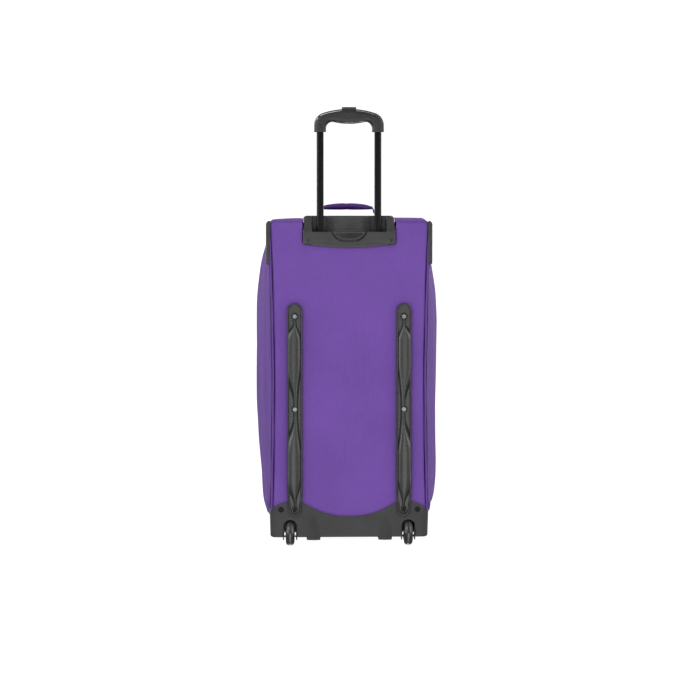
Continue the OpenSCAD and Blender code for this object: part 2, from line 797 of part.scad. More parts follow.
module push_button() {
    color([0.2, 0.2, 0.21]) {
        translate([0, tube_y, yoke_z + yoke_h + fit]) linear_extrude(grip_top + 3.6 - yoke_z - yoke_h)
            polygon(round_rect(31, 14, 5.8));
        translate([0, tube_y, grip_top + 3.6]) linear_extrude(1.4) polygon(round_rect(27, 10.6, 5));
    }
}

module release_yoke() {
    color([0.75, 0.75, 0.72]) difference() {
        block([-tube_x - 4, tube_y - 3, yoke_z], [tube_x + 4, tube_y + 3, yoke_z + yoke_h]);
        for (x = grip_screw_x) block([x - 2, tube_y - 4, yoke_z - 1], [x + 2, tube_y + 4, yoke_z + 1.6]);
    }
}

module at_wheel() {
    translate([wheel_x, wheel_y, wheel_r]) rotate([0, 90, 0]) rotate_extrude() children();
}

module tyre() {
    half = wheel_w / 2;
    color([0.22, 0.22, 0.23]) at_wheel() polygon(concat(
        [[hub_r + 0.05, -half + 1]],
        [for (i = [0:12]) [wheel_r - 8 + 8 * sin(15 * i), -half * cos(15 * i)]],
        [[hub_r + 0.05, half - 1]]
    ));
}

module hub() {
    half = wheel_w / 2 - 1;
    color([0.12, 0.12, 0.13]) at_wheel() polygon([
        [bearing_r + 0.02, -half], [13, -half], [14, 2 - half], [15.4, 2 - half], [16, -half], [hub_r, -half],
        [hub_r, half], [16, half], [15.4, half - 2], [14, half - 2], [13, half], [bearing_r + 0.02, half]
    ]);
}

module bearings() {
    color(steel) for (s = [-1, 1]) translate([s * (bearing_w / 2 + 0.6), 0, 0]) at_wheel() polygon([
        [axle_r + running, -bearing_w / 2], [bearing_r, -bearing_w / 2],
        [bearing_r, bearing_w / 2], [axle_r + running, bearing_w / 2]
    ]);
}

module tyre_left() { mirror([1, 0, 0]) tyre(); }
module tyre_right() { tyre(); }
module hub_left() { mirror([1, 0, 0]) hub(); }
module hub_right() { hub(); }
module bearings_left() { mirror([1, 0, 0]) bearings(); }
module bearings_right() { bearings(); }

module carry_pad() {
    color(fabric) difference() {
        translate([0, 0, pad_low + pad_t / 2]) along_x(-pad_half, pad_half)
            polygon(round_rect(pad_w, pad_t, 6));
        translate([0, 0, pad_low + pad_t / 2]) along_x(-pad_half - 1, pad_half + 1)
            polygon(round_rect(web_w + 0.4, web_t + 0.4, 0.6));
    }
}

// Strap outline: level inside the pad, then down to a loop round each anchor pin
module carry_webbing() {
    mid_z = pad_low + pad_t / 2;
    low = mid_z - web_t / 2;
    high = mid_z + web_t / 2;
    bend = anchor_x - 9;
    neck = 7;
    color("rebeccapurple") {
        intersection() {
            along_y(-web_w / 2, web_w / 2) polygon([
                [-bend, low], [bend, low], [anchor_x - 1.2, swing_z + 5], [anchor_x + 1.2, swing_z + 5],
                [bend + 1, high], [-bend - 1, high],
                [-anchor_x - 1.2, swing_z + 5], [1.2 - anchor_x, swing_z + 5]
            ]);
            along_x(-anchor_x - 5, anchor_x + 5) polygon([
                [-neck, swing_z + 4], [neck, swing_z + 4], [web_w / 2, swing_z + 13],
                [web_w / 2, high + 1], [-web_w / 2, high + 1], [-web_w / 2, swing_z + 13]
            ]);
        }
        both() difference() {
            union() {
                bar_x(anchor_x - 5.6, anchor_x + 5.6, 0, swing_z, 4);
                along_x(anchor_x - 1.2, anchor_x + 1.2) polygon([
                    [-4, swing_z], [4, swing_z], [neck, swing_z + 5.2], [-neck, swing_z + 5.2]
                ]);
            }
            bar_x(anchor_x - 9, anchor_x + 9, 0, swing_z, 2.08);
        }
    }
}

module lid_panel() {
    color(fabric) along_y(y_lid, y_lid_face) translate([0, open_mid])
        polygon(round_rect(2 * (open_half - 6.5), open_h - 13, 24));
}

module front_pocket() {
    mid = (pocket_low + pocket_high) / 2;
    h = pocket_high - pocket_low;
    color(fabric) translate([0, 0, mid]) {
        along_y(y_lid_face + gap, y_pocket - 5) polygon(round_rect(2 * pocket_half, h, 22));
        along_y(y_pocket - 5, y_pocket) polygon(round_rect(2 * pocket_half - 10, h - 10, 18));
    }
}

module lid_zip_tape() { color([0.1, 0.1, 0.11]) zip_ring(y_front + gap, y_front + 1.2, -0.3, -7.5); }

module pocket_zip_tape() {
    color([0.1, 0.1, 0.11]) along_y(y_lid_face + gap, y_lid_face + 1.2) translate([0, pocket_zip_z])
        polygon(round_rect(2 * pocket_half, 16, 2));
}

// Zip slider lying on the tape at y = 0, along Z, with two ears and a pin along X
module slider(z_pin) {
    difference() {
        union() {
            along_y(0, 1.8) polygon(round_rect(9, 13, 3));
            for (s = [-1, 1]) along_x(s * 2.7 - 0.7, s * 2.7 + 0.7) polygon(concat(
                [[1.7, z_pin + 2], [1.7, z_pin - 2]], arc(3.4, z_pin, 1.6, -70, 70, 6)
            ));
        }
        bar_x(-4, 4, 3.4, z_pin, 0.8);
    }
    bar_x(-3.2, 3.2, 3.4, z_pin, 0.78);
}

// Pull tab that hangs from the slider's pin
module pull(z_pin) {
    difference() {
        union() {
            bar_x(-1.7, 1.7, 3.4, z_pin, 1.4);
            along_y(2.8, 4.2) translate([0, z_pin]) polygon(concat(
                [[1.7, 0], [-1.7, 0]], [[-1.7, -6], [-3.6, -9]],
                arc(0, -29, 3.6, 180, 360, 8), [[3.6, -9], [1.7, -6]]
            ));
        }
        bar_x(-4, 4, 3.4, z_pin, 0.83);
        bar_y(0, z_pin - 27, 0, 9, 1.3);
    }
}

module at_main_zip() { translate([open_half, y_front + 1.6, main_slider_z]) children(); }
module at_pocket_zip() {
    translate([80, y_lid_face + 1.5, pocket_zip_z]) rotate([0, 90, 0]) children();
}

module main_slider() { color(plastic) at_main_zip() slider(-2); }
module main_pull() { color(plastic) at_main_zip() pull(-2); }
module pocket_slider() { color(plastic) at_pocket_zip() slider(-2); }
module pocket_pull() { color(plastic) at_pocket_zip() pull(-2); }

base_tray();
bottom_board();
wheel_housing_left();
wheel_housing_right();
wheel_axles();
skid_rail_left();
skid_rail_right();
rear_screws();
back_board();
handle_housing();
housing_screws();
outer_tube_left();
outer_tube_right();
outer_collars();
tube_bracket();
front_feet();
opening_frame();
back_panel();
side_panel_left();
side_panel_right();
top_panel();
front_border();
back_piping();
edge_guards();
handle_anchors();
body_zip_tape();
back_lining();
mid_tube_left();
mid_tube_right();
mid_collars();
inner_tube_left();
inner_tube_right();
inner_plugs();
grip_back_shell();
grip_front_shell();
grip_screws();
button_spring();
push_button();
release_yoke();
push_rods();
lock_pin_left();
lock_pin_right();
tyre_left();
hub_left();
bearings_left();
tyre_right();
hub_right();
bearings_right();
carry_pad();
carry_webbing();
lid_panel();
front_pocket();
lid_zip_tape();
pocket_zip_tape();
main_slider();
main_pull();
pocket_slider();
pocket_pull();
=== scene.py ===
import math

import bpy
import bmesh
import numpy as np
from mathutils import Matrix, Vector
from mathutils.bvhtree import BVHTree


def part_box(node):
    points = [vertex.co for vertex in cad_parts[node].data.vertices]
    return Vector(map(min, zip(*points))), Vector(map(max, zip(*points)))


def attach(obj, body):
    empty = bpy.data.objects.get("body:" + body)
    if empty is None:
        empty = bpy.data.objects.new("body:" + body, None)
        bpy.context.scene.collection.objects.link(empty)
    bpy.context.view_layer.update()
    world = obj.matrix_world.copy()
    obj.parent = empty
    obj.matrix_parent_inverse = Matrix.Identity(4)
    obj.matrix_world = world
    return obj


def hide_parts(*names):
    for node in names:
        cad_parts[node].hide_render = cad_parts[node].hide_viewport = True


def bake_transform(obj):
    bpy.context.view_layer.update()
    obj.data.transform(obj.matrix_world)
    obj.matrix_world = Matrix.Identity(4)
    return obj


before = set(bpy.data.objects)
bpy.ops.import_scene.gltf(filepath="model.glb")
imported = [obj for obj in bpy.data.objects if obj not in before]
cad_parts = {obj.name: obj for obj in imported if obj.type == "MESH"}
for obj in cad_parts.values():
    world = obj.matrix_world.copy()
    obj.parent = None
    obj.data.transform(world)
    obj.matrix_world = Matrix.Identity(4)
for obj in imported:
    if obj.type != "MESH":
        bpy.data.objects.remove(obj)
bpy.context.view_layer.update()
MM = 0.001

# ---------------------------------------------------------------- sizes, in millimetres


def box_mm(node):
    """Low and high corner of a CAD node's box."""
    low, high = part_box(node)
    return np.array(low) / MM, np.array(high) / MM


def middle_mm(node):
    """Middle of a CAD node's box."""
    low, high = box_mm(node)
    return (low + high) / 2


TRAY_HIGH = box_mm("base_tray")[1]
TRAY_HALF = TRAY_HIGH[0]
BACK = box_mm("back_panel")[0][1]
TRAY_BACK = BACK - 3
TRAY_FRONT = TRAY_HIGH[1]
FRONT = box_mm("front_border")[1][1]
TOP = box_mm("top_panel")[1][2]
HUMP = TRAY_HIGH[2]
CORNER = HUMP - 14
VALLEY = HUMP - 31
FLOOR = box_mm("bottom_board")[0][2] - 3.2
LOW_WALL = 50
SIDE_TOP = TOP - 4
SIDE_Y0 = BACK + 3.6
SIDE_Y1 = FRONT - 3.2
SIDE_BULGE = box_mm("side_panel_right")[1][0] - 161
LIP = box_mm("handle_housing")[0][1]
HOUSING_HALF, CUP, HOUSING_TOP = box_mm("handle_housing")[1]
LIP_Z = TOP - 20
RECESS_Z = TOP - 39
RECESS_HALF = 78
TUBE_X, TUBE_Y = middle_mm("inner_tube_right")[:2]
GRIP_Y0, GRIP_LOW = box_mm("grip_back_shell")[0][1:]
GRIP_HALF, _, GRIP_TOP = box_mm("grip_back_shell")[1]
GRIP_Y1 = box_mm("grip_front_shell")[1][1]
RAIL_X = middle_mm("skid_rail_right")[0]
RAIL_LOW, RAIL_TOP = (corner[2] for corner in box_mm("skid_rail_right"))
RAIL_SCREWS = [80, 290, RAIL_TOP - 28]
RAIL_HALF = 16.5
RAIL_RIM, RAIL_CHANNEL, RAIL_SPINE = 9.6, 4.4, 11.8
TRAY_SCREW = (143, 79)
SKID_X = 75
WHEEL_X, WHEEL_Y = middle_mm("tyre_right")[:2]
WHEEL_R = box_mm("tyre_right")[1][2] / 2
WHEEL_HALF = box_mm("tyre_right")[1][0] - WHEEL_X
WELL_HALF = WHEEL_HALF + 3
OPEN_HALF = 154
OPEN_LOW, OPEN_HIGH = 58, TOP - 14
OPEN_MID = (OPEN_LOW + OPEN_HIGH) / 2
OPEN_TALL = OPEN_HIGH - OPEN_LOW
LID_BACK, LID_FACE = box_mm("lid_panel")[0][1], box_mm("lid_panel")[1][1]
POCKET_LOW, POCKET_HIGH = box_mm("front_pocket")
ANCHOR_X = 64
SWING_Z = TOP + 7
PAD_HIGH = box_mm("carry_pad")[1]


def back_half(z):
    """Half width of the back panel at height z."""
    s = np.clip((z - CORNER) / (SIDE_TOP - CORNER), 0, 1)
    return TRAY_HALF - 5 + 4 * s - 6 * np.sin(np.pi * s)


def rim_z(y):
    """Height of the tray's rim along its sides."""
    share = np.clip((y - TRAY_BACK - 40) / 50, 0, 1)
    return CORNER + (LOW_WALL - CORNER) * share


# ---------------------------------------------------------------- materials


class Finish:
    """A material on a Principled shader, with short ways to add and link nodes."""

    def __init__(self, name, **sockets):
        self.material = bpy.data.materials.new(name)
        self.material.use_nodes = True
        self.tree = self.material.node_tree
        self.shader = self.tree.nodes["Principled BSDF"]
        for key, value in sockets.items():
            self.shader.inputs[key.replace("_", " ")].default_value = value
        self.place = self.add("ShaderNodeTexCoord").outputs["Object"]

    def add(self, kind, inputs=None, **settings):
        node = self.tree.nodes.new(kind)
        for key, value in settings.items():
            setattr(node, key, value)
        for key, value in (inputs or {}).items():
            if isinstance(value, bpy.types.NodeSocket):
                self.tree.links.new(value, node.inputs[key])
            else:
                node.inputs[key].default_value = value
        return node

    def noise(self, scale, detail=3.0, stretch=None, distortion=0.0):
        place = self.place
        if stretch:
            place = self.add("ShaderNodeMapping", {"Vector": place, "Scale": stretch}).outputs[0]
        return self.add("ShaderNodeTexNoise", {
            "Vector": place, "Scale": scale, "Detail": detail, "Distortion": distortion,
        }).outputs["Fac"]

    def wave(self, axis, period):
        """Bands across one axis, with their period in metres."""
        node = self.add("ShaderNodeTexWave", {"Vector": self.place, "Scale": 0.31416 / period},
                        bands_direction=axis)
        return node.outputs["Fac"]

    def math(self, operation, a, b):
        node = self.add("ShaderNodeMath", operation=operation)
        for socket, value in zip(node.inputs, (a, b)):
            if isinstance(value, bpy.types.NodeSocket):
                self.tree.links.new(value, socket)
            else:
                socket.default_value = value
        return node.outputs[0]

    def ramp(self, value, stops):
        node = self.add("ShaderNodeValToRGB", {"Fac": value})
        elements = node.color_ramp.elements
        while len(elements) < len(stops):
            elements.new(0.5)
        for element, (position, colour) in zip(elements, stops):
            element.position = position
            element.color = (*colour, 1)
        return node.outputs["Color"]

    def blend(self, kind, share, a, b):
        node = self.add("ShaderNodeMix", data_type="RGBA", blend_type=kind)
        for key, value in ((0, share), (6, a), (7, b)):
            if isinstance(value, bpy.types.NodeSocket):
                self.tree.links.new(value, node.inputs[key])
            else:
                node.inputs[key].default_value = value if key == 0 else (*value, 1)
        return node.outputs[2]

    def span(self, value, low, high):
        """A value from 0 to 1 mapped to the range from low to high."""
        return self.add("ShaderNodeMapRange", {
            "Value": value, "To Min": low, "To Max": high,
        }).outputs[0]

    def use(self, colour=None, roughness=None, bumps=()):
        """Links the colour and roughness, and a chain of (height, strength, distance in metres)."""
        if colour is not None:
            self.tree.links.new(colour, self.shader.inputs["Base Color"])
        if roughness is not None:
            self.tree.links.new(roughness, self.shader.inputs["Roughness"])
        last = None
        for height, strength, distance in bumps:
            bump = self.add("ShaderNodeBump", {
                "Height": height, "Strength": strength, "Distance": distance,
            })
            if last:
                self.tree.links.new(last, bump.inputs["Normal"])
            last = bump.outputs["Normal"]
        if last:
            self.tree.links.new(last, self.shader.inputs["Normal"])
        return self.material


def shade(colour, times):
    """A colour made lighter or darker."""
    return tuple(min(1.0, c * times) for c in colour)


def fabric(name, colour, across, period=0.0011, sheen=0.02, tint=(0.5, 0.3, 0.9)):
    """Plain-woven polyester. across names the two axes that its threads run along."""
    f = Finish(name, Roughness=0.72, Sheen_Weight=sheen, Sheen_Roughness=0.42,
               Sheen_Tint=(*tint, 1), Specular_IOR_Level=0.04)
    warp, weft = (f.wave(a, period) for a in across)
    weave = f.math("MULTIPLY", warp, weft)
    slub = f.noise(420, 2, stretch=(1, 1, 0.15))
    patch = f.noise(7, 3)
    tone = f.ramp(patch, [(0.3, shade(colour, 0.93)), (0.7, shade(colour, 1.07))])
    tone = f.blend("MULTIPLY", 0.28, tone, f.ramp(weave, [(0, (0.6, 0.58, 0.66)), (0.6, (1, 1, 1))]))
    tone = f.blend("MULTIPLY", 0.22, tone, f.ramp(slub, [(0.35, (0.72, 0.7, 0.76)), (0.6, (1, 1, 1))]))
    return f.use(tone, f.span(patch, 0.62, 0.78), [
        (weave, 0.5, 0.00035), (slub, 0.2, 0.0003), (f.noise(26, 3), 0.25, 0.0016),
    ])


def moulded(name, grey, rough=0.4, grain=2200, rub_and_highlight_level=0.35, shine=0.16):
    """Fine-textured moulded plastic, with its edges painted lighter: partly light rubbing, partly a painted
    highlight.
    """
    base = (grey, grey, grey * 1.04)
    f = Finish(name, Roughness=rough, Specular_IOR_Level=shine)
    texture = f.noise(grain, 2)
    cloud = f.noise(24, 4)
    edge = f.add("ShaderNodeNewGeometry").outputs["Pointiness"]
    tone = f.ramp(cloud, [(0.3, shade(base, 0.88)), (0.72, shade(base, 1.14))])
    # Edges found by pointiness are painted lighter: a painted highlight along them, standing also for light
    # rubbing.
    rubbed_edges_painted_highlight = f.ramp(edge, [(0.52, (0, 0, 0)), (0.62, (rub_and_highlight_level, rub_and_highlight_level, rub_and_highlight_level))])
    tone = f.blend("ADD", 0.16, tone, rubbed_edges_painted_highlight)
    return f.use(tone, f.span(cloud, rough - 0.07, rough + 0.09), [
        (texture, 0.35, 0.00012), (f.noise(60, 2), 0.12, 0.0006),
    ])


def metal(name, colour, rough, metallic=1.0, stretch=(1, 1, 0.03), shine=0.5):
    """Drawn or turned metal with faint lengthwise streaks."""
    f = Finish(name, Metallic=metallic, Roughness=rough, Specular_IOR_Level=shine)
    lines = f.noise(900, 3, stretch=stretch)
    tone = f.ramp(lines, [(0.3, shade(colour, 0.85)), (0.7, shade(colour, 1.1))])
    return f.use(tone, f.span(lines, max(0.04, rough - 0.05), rough + 0.08), [(lines, 0.06, 0.0001)])


def flat_plastic(name, colour, rough=0.45):
    """Untextured moulded or extruded plastic with a soft mottle."""
    f = Finish(name, Roughness=rough)
    cloud = f.noise(40, 3)
    tone = f.ramp(cloud, [(0.3, shade(colour, 0.9)), (0.7, shade(colour, 1.08))])
    return f.use(tone, f.span(cloud, rough - 0.06, rough + 0.08), [(f.noise(900, 2), 0.15, 0.0001)])


def screw_metal():
    """Bright zinc on the rail screws, black on the screws near the tray."""
    f = Finish("rail_and_tray_screws", Metallic=0.8)
    height = f.add("ShaderNodeSeparateXYZ", {"Vector": f.place}).outputs["Z"]
    lines = f.noise(900, 3)
    zinc = f.ramp(lines, [(0.3, (0.17, 0.17, 0.18)), (0.7, (0.27, 0.27, 0.28))])
    tone = f.blend("MIX", f.math("LESS_THAN", height, 0.16), zinc, (0.004, 0.004, 0.004))
    return f.use(tone, f.span(lines, 0.22, 0.36), [(lines, 0.06, 0.0001)])


PURPLE = (0.158, 0.075, 0.336)
BACK_FABRIC = fabric("back_fabric", PURPLE, "XZ")
# Painted shade: the sides take the back's purple made darker, for the less light that falls on them.
PAINTED_SHADE_SIDE_CLOTH = fabric("painted_shade_side_cloth", shade(PURPLE, 0.76), "YZ")
# Painted shade: the top takes the back's purple made darker, as it lies in shade.
PAINTED_SHADE_TOP_CLOTH = fabric("painted_shade_top_cloth", shade(PURPLE, 0.85), "XY")
# Painted shadow: near-black cords laid in the seam beside the piping.
PAINTED_SEAM_SHADOW = fabric("painted_seam_shadow", (0.018, 0.006, 0.04), "XZ")
# Painted shade: the carry pad takes the back's purple at half brightness, for the shade on its underside.
PAINTED_SHADE_PAD_CLOTH = fabric("painted_shade_pad_cloth", shade(PURPLE, 0.5), "XY")
PIPING_FABRIC = fabric("piping_fabric", shade(PURPLE, 0.8), "XZ", period=0.0006, sheen=0.1)
STRAP_FABRIC = fabric("strap_fabric", shade(PURPLE, 0.85), "XY", period=0.0012, sheen=0.1)
TAPE_FABRIC = fabric("tape_fabric", (0.02, 0.018, 0.024), "XZ", period=0.0006, sheen=0.1, tint=(1, 1, 1))
LINING_FABRIC = fabric("lining_fabric", (0.05, 0.05, 0.055), "XZ", period=0.0005, sheen=0.1, tint=(1, 1, 1))
THREAD = fabric("thread", shade(PURPLE, 0.62), "XZ", period=0.0003, sheen=0.1)
MOULDED = moulded("moulded_plastic", 0.04)
DARK_MOULDED = moulded("dark_moulded_plastic", 0.012, rough=0.34, shine=0.4)
RAIL_PLASTIC = moulded("rail_plastic", 0.026, rough=0.27, grain=2600, shine=0.5)
GRIP_PLASTIC = moulded("grip_plastic", 0.021, rough=0.42, shine=0.3)
HOUSING_PLASTIC = moulded("housing_plastic", 0.035, rough=0.34, shine=0.3)
BUTTON_PLASTIC = moulded("button_plastic", 0.05, rough=0.3)
COIL_PLASTIC = flat_plastic("zip_coil", (0.018, 0.018, 0.02), 0.35)
TUBE_METAL = metal("anodised_tube", (0.006, 0.006, 0.0065), 0.16, metallic=0.0, shine=0.2)
STEEL = metal("zinc_steel", (0.6, 0.6, 0.61), 0.3, stretch=(1, 1, 1))
SLIDER_METAL = metal("black_slider", (0.2, 0.2, 0.205), 0.22, metallic=0.8, stretch=(1, 1, 1))
SCREW_METAL = screw_metal()
BRASS = metal("turned_brass", (0.7, 0.5, 0.22), 0.28)
NYLON = flat_plastic("nylon", (0.62, 0.61, 0.56))
BOARD = flat_plastic("stiffener_board", (0.5, 0.5, 0.48), 0.55)
FOOT_RUBBER = moulded("foot_rubber", 0.02, rough=0.6)


def tread_finish():
    """Glossy moulded wheel: black, with a faint mottle in colour and roughness."""
    f = Finish("wheel_tread", Roughness=0.25, Coat_Weight=0.3)
    scuff = f.noise(90, 4)
    tone = f.ramp(scuff, [(0.35, (0.012, 0.012, 0.013)), (0.7, (0.03, 0.03, 0.031))])
    return f.use(tone, f.span(scuff, 0.2, 0.45), [(scuff, 0.15, 0.0003)])


TREAD = tread_finish()

# ---------------------------------------------------------------- mesh helpers


def new_object(name, verts, faces, material, sharp=None):
    """Smooth-shaded mesh object. verts are in millimetres."""
    mesh = bpy.data.meshes.new(name)
    mesh.from_pydata((np.asarray(verts, float) * MM).tolist(), [], [list(map(int, f)) for f in faces])
    mesh.materials.append(material)
    mesh.shade_smooth()
    if sharp:
        mesh.set_sharp_from_angle(angle=math.radians(sharp))
    obj = bpy.data.objects.new(name, mesh)
    bpy.context.scene.collection.objects.link(obj)
    return obj


def place(obj, body, slot, *replaced):
    """Rides obj on a body and hides the CAD nodes that it stands for; slot is not used."""
    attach(obj, body)
    if replaced:
        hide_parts(*replaced)
    return obj


def apply_modifiers(obj):
    """Turns what obj's modifiers make of it into its own mesh."""
    graph = bpy.context.evaluated_depsgraph_get()
    mesh = bpy.data.meshes.new_from_object(obj.evaluated_get(graph), depsgraph=graph)
    obj.modifiers.clear()
    obj.data = mesh
    mesh.shade_smooth()
    return obj


def modify(obj, kind, **settings):
    modifier = obj.modifiers.new(kind.lower(), kind)
    for key, value in settings.items():
        setattr(modifier, key, value)
    return modifier


def mirrored(obj, name):
    """Copy of obj on the other side of the middle plane."""
    mesh = obj.data.copy()
    co = vertices(obj)
    co[:, 0] *= -1
    mesh.vertices.foreach_set("co", co.astype(np.float32).ravel())
    mesh.flip_normals()
    copy = bpy.data.objects.new(name, mesh)
    bpy.context.scene.collection.objects.link(copy)
    return copy


def vertices(obj):
    """An object's points in metres, one row each."""
    co = np.zeros(len(obj.data.vertices) * 3, np.float32)
    obj.data.vertices.foreach_get("co", co)
    return co.reshape(-1, 3).astype(float)


def set_vertices(obj, co):
    obj.data.vertices.foreach_set("co", np.asarray(co, np.float32).ravel())
    obj.data.update()


def joined(name, parts):
    """One mesh object from several, without their modifiers."""
    mesh = bmesh.new()
    for part in parts:
        mesh.from_mesh(part.data)
    data = bpy.data.meshes.new(name)
    mesh.to_mesh(data)
    mesh.free()
    data.materials.append(parts[0].data.materials[0])
    data.shade_smooth()
    obj = bpy.data.objects.new(name, data)
    bpy.context.scene.collection.objects.link(obj)
    for part in parts:
        bpy.data.objects.remove(part)
    return obj


def grid(name, point, us, vs, material, keep=None, flip=False):
    """Surface through point(u, v). keep(u, v) at a cell's middle says whether the cell is there."""
    nv = len(vs)
    verts = [point(u, v) for u in us for v in vs]
    faces = []
    for i in range(len(us) - 1):
        for j in range(nv - 1):
            if keep and not keep((us[i] + us[i + 1]) / 2, (vs[j] + vs[j + 1]) / 2):
                continue
            a = i * nv + j
            face = [a, a + nv, a + nv + 1, a + 1]
            faces.append(face[::-1] if flip else face)
    obj = new_object(name, verts, faces, material)
    loose_cleanup(obj)
    return obj


def loose_cleanup(obj):
    """Removes the points that no face uses."""
    mesh = bmesh.new()
    mesh.from_mesh(obj.data)
    loose = [v for v in mesh.verts if not v.link_faces]
    bmesh.ops.delete(mesh, geom=loose, context="VERTS")
    mesh.to_mesh(obj.data)
    mesh.free()


def wrapped(n, m):
    """Faces of a closed row of n rings with m points each."""
    return [[i * m + j, i * m + (j + 1) % m, (i + 1) % n * m + (j + 1) % m, (i + 1) % n * m + j]
            for i in range(n) for j in range(m)]


def swept(name, path, section, material, closed=False, up=(0, 0, 1), scales=None, sharp=None):
    """Section (pairs across and up) swept along a path of points, all in millimetres."""
    path = [Vector(p) for p in path]
    n, m = len(path), len(section)
    verts, faces = [], []
    for i, p in enumerate(path):
        before = path[i - 1] if i or closed else path[0]
        after = path[(i + 1) % n] if i < n - 1 or closed else path[-1]
        along = (after - before).normalized()
        side = along.cross(Vector(up)).normalized()
        rise = side.cross(along).normalized()
        k = scales[i] if scales else 1
        verts += [p + side * (a * k) + rise * (b * k) for a, b in section]
    for i in range(n if closed else n - 1):
        for j in range(m):
            a, b = i * m + j, ((i + 1) % n) * m + j
            c, d = ((i + 1) % n) * m + (j + 1) % m, i * m + (j + 1) % m
            faces.append([a, d, c, b])
    if not closed:
        faces.append(list(range(m)))
        faces.append([(n - 1) * m + j for j in range(m - 1, -1, -1)])
    return new_object(name, verts, faces, material, sharp)


def circle_section(r, n=12):
    return [(r * math.cos(2 * math.pi * i / n), r * math.sin(2 * math.pi * i / n)) for i in range(n)]


def flat_section(w, t, r=0.4):
    """Flat strap section of width w and thickness t with eased edges."""
    a, b = w / 2, t / 2
    return [(-a, -b + r), (-a + r, -b), (a - r, -b), (a, -b + r),
            (a, b - r), (a - r, b), (-a + r, b), (-a, b - r)]


def ring_path(half, tall, r, mid, step):
    """Points round an upright rounded rectangle about x = 0 and z = mid, as (x, z)."""
    points = []
    corners = [(half - r, tall / 2 - r, 0), (r - half, tall / 2 - r, 90),
               (r - half, r - tall / 2, 180), (half - r, r - tall / 2, 270)]
    turns = max(4, int(r * math.pi / 2 / step))
    for k, (cx, cz, start) in enumerate(corners):
        for i in range(turns + 1):
            a = math.radians(start + 90 * i / turns)
            points.append((cx + r * math.cos(a), mid + cz + r * math.sin(a)))
        nx, nz, nstart = corners[(k + 1) % 4]
        a = math.radians(nstart)
        end = (nx + r * math.cos(a), mid + nz + r * math.sin(a))
        last = points[-1]
        count = int(math.dist(last, end) / step)
        points += [(last[0] + (end[0] - last[0]) * i / count, last[1] + (end[1] - last[1]) * i / count)
                   for i in range(1, count)]
    return points


def resampled(path, pitch, closed=False):
    """Points a pitch apart along a polyline, each with its direction."""
    points = [np.array(p, float) for p in path] + ([np.array(path[0], float)] if closed else [])
    out, carry = [], 0.0
    for a, b in zip(points, points[1:]):
        length = np.linalg.norm(b - a)
        if length < 1e-9:
            continue
        while carry < length:
            out.append((a + (b - a) * carry / length, (b - a) / length))
            carry += pitch
        carry -= length
    return out


def stitches(name, path, normal, body, slot, pitch=3.4, length=2.3, r=0.32, closed=False, material=None):
    """Row of thread stitches along a path on a surface with that outward normal."""
    normal = np.array(normal, float)
    verts, faces = [], []
    for p, along in resampled(path, pitch, closed):
        side = np.cross(along, normal)
        side /= max(np.linalg.norm(side), 1e-9)
        base = len(verts)
        for s, k, h in ((-1, 0.25, -0.2), (-0.6, 1, 0.5), (0.6, 1, 0.5), (1, 0.25, -0.2)):
            c = p + along * (s * length / 2) + normal * (h * r)
            verts += [c - side * r * k, c + normal * r * k, c + side * r * k, c - normal * r * k]
        for i in range(3):
            for j in range(4):
                a, b = base + 4 * i + j, base + 4 * i + (j + 1) % 4
                faces.append([a, b, b + 4, a + 4])
        faces.append([base, base + 3, base + 2, base + 1])
        faces.append([base + 12, base + 13, base + 14, base + 15])
    return place(new_object(name, verts, faces, material or THREAD), body, slot)


# ---------------------------------------------------------------- solids from distance fields


def smooth_min(a, b, r):
    """Smaller of two distances, blended where they differ by less than r."""
    h = np.maximum(r - np.abs(a - b), 0) / r
    return np.minimum(a, b) - h * h * r / 4


def smooth_max(a, b, r):
    """Larger of two distances, blended in the same way."""
    return -smooth_min(-a, -b, r)


def round_box(x, y, z, low, high, r):
    """Distance from a box with edges rounded by r."""
    q = [np.abs(p - (a + b) / 2) - (b - a) / 2 + r for p, a, b in zip((x, y, z), low, high)]
    outside = np.sqrt(sum(np.maximum(k, 0) ** 2 for k in q))
    return outside + np.minimum(np.maximum(np.maximum(q[0], q[1]), q[2]), 0) - r


def round_plan(a, b, half_a, half_b, r):
    """Distance from a rounded rectangle about the origin, for coordinates that are not negative."""
    a, b = a - half_a + r, b - half_b + r
    return np.hypot(np.maximum(a, 0), np.maximum(b, 0)) - r + np.minimum(np.maximum(a, b), 0)


def slab(t, low, high):
    """Distance from the space between two parallel planes."""
    return np.abs(t - (low + high) / 2) - (high - low) / 2


def extruded(d, t, low, high, r):
    """Outline distance d pulled along t between low and high, with edges rounded by r."""
    w, v = d + r, slab(t, low, high) + r
    return np.minimum(np.maximum(w, v), 0) + np.hypot(np.maximum(w, 0), np.maximum(v, 0)) - r


def outline_distance(a, b, points):
    """Signed distance in a plane from a closed outline, negative inside."""
    near = np.full(np.broadcast(a, b).shape, 1e18)
    inside = np.zeros(near.shape, bool)
    for (x0, y0), (x1, y1) in zip(points, points[1:] + points[:1]):
        ex, ey = x1 - x0, y1 - y0
        wx, wy = a - x0, b - y0
        t = np.clip((wx * ex + wy * ey) / max(ex * ex + ey * ey, 1e-12), 0, 1)
        near = np.minimum(near, (wx - ex * t) ** 2 + (wy - ey * t) ** 2)
        if y0 != y1:
            crosses = ((y0 <= b) & (b < y1)) | ((y1 <= b) & (b < y0))
            inside ^= crosses & (a < x0 + (b - y0) * ex / ey)
    return np.where(inside, -1.0, 1.0) * np.sqrt(near)


def capsule(x, y, z, a, b, ra, rb=None):
    """Rod with round ends from a to b, with a radius at each end."""
    rb = ra if rb is None else rb
    d = np.array(b, float) - np.array(a, float)
    t = ((x - a[0]) * d[0] + (y - a[1]) * d[1] + (z - a[2]) * d[2]) / (d @ d)
    t = np.clip(t, 0, 1)
    away = np.sqrt((x - a[0] - t * d[0]) ** 2 + (y - a[1] - t * d[1]) ** 2 + (z - a[2] - t * d[2]) ** 2)
    return away - (ra + (rb - ra) * t)


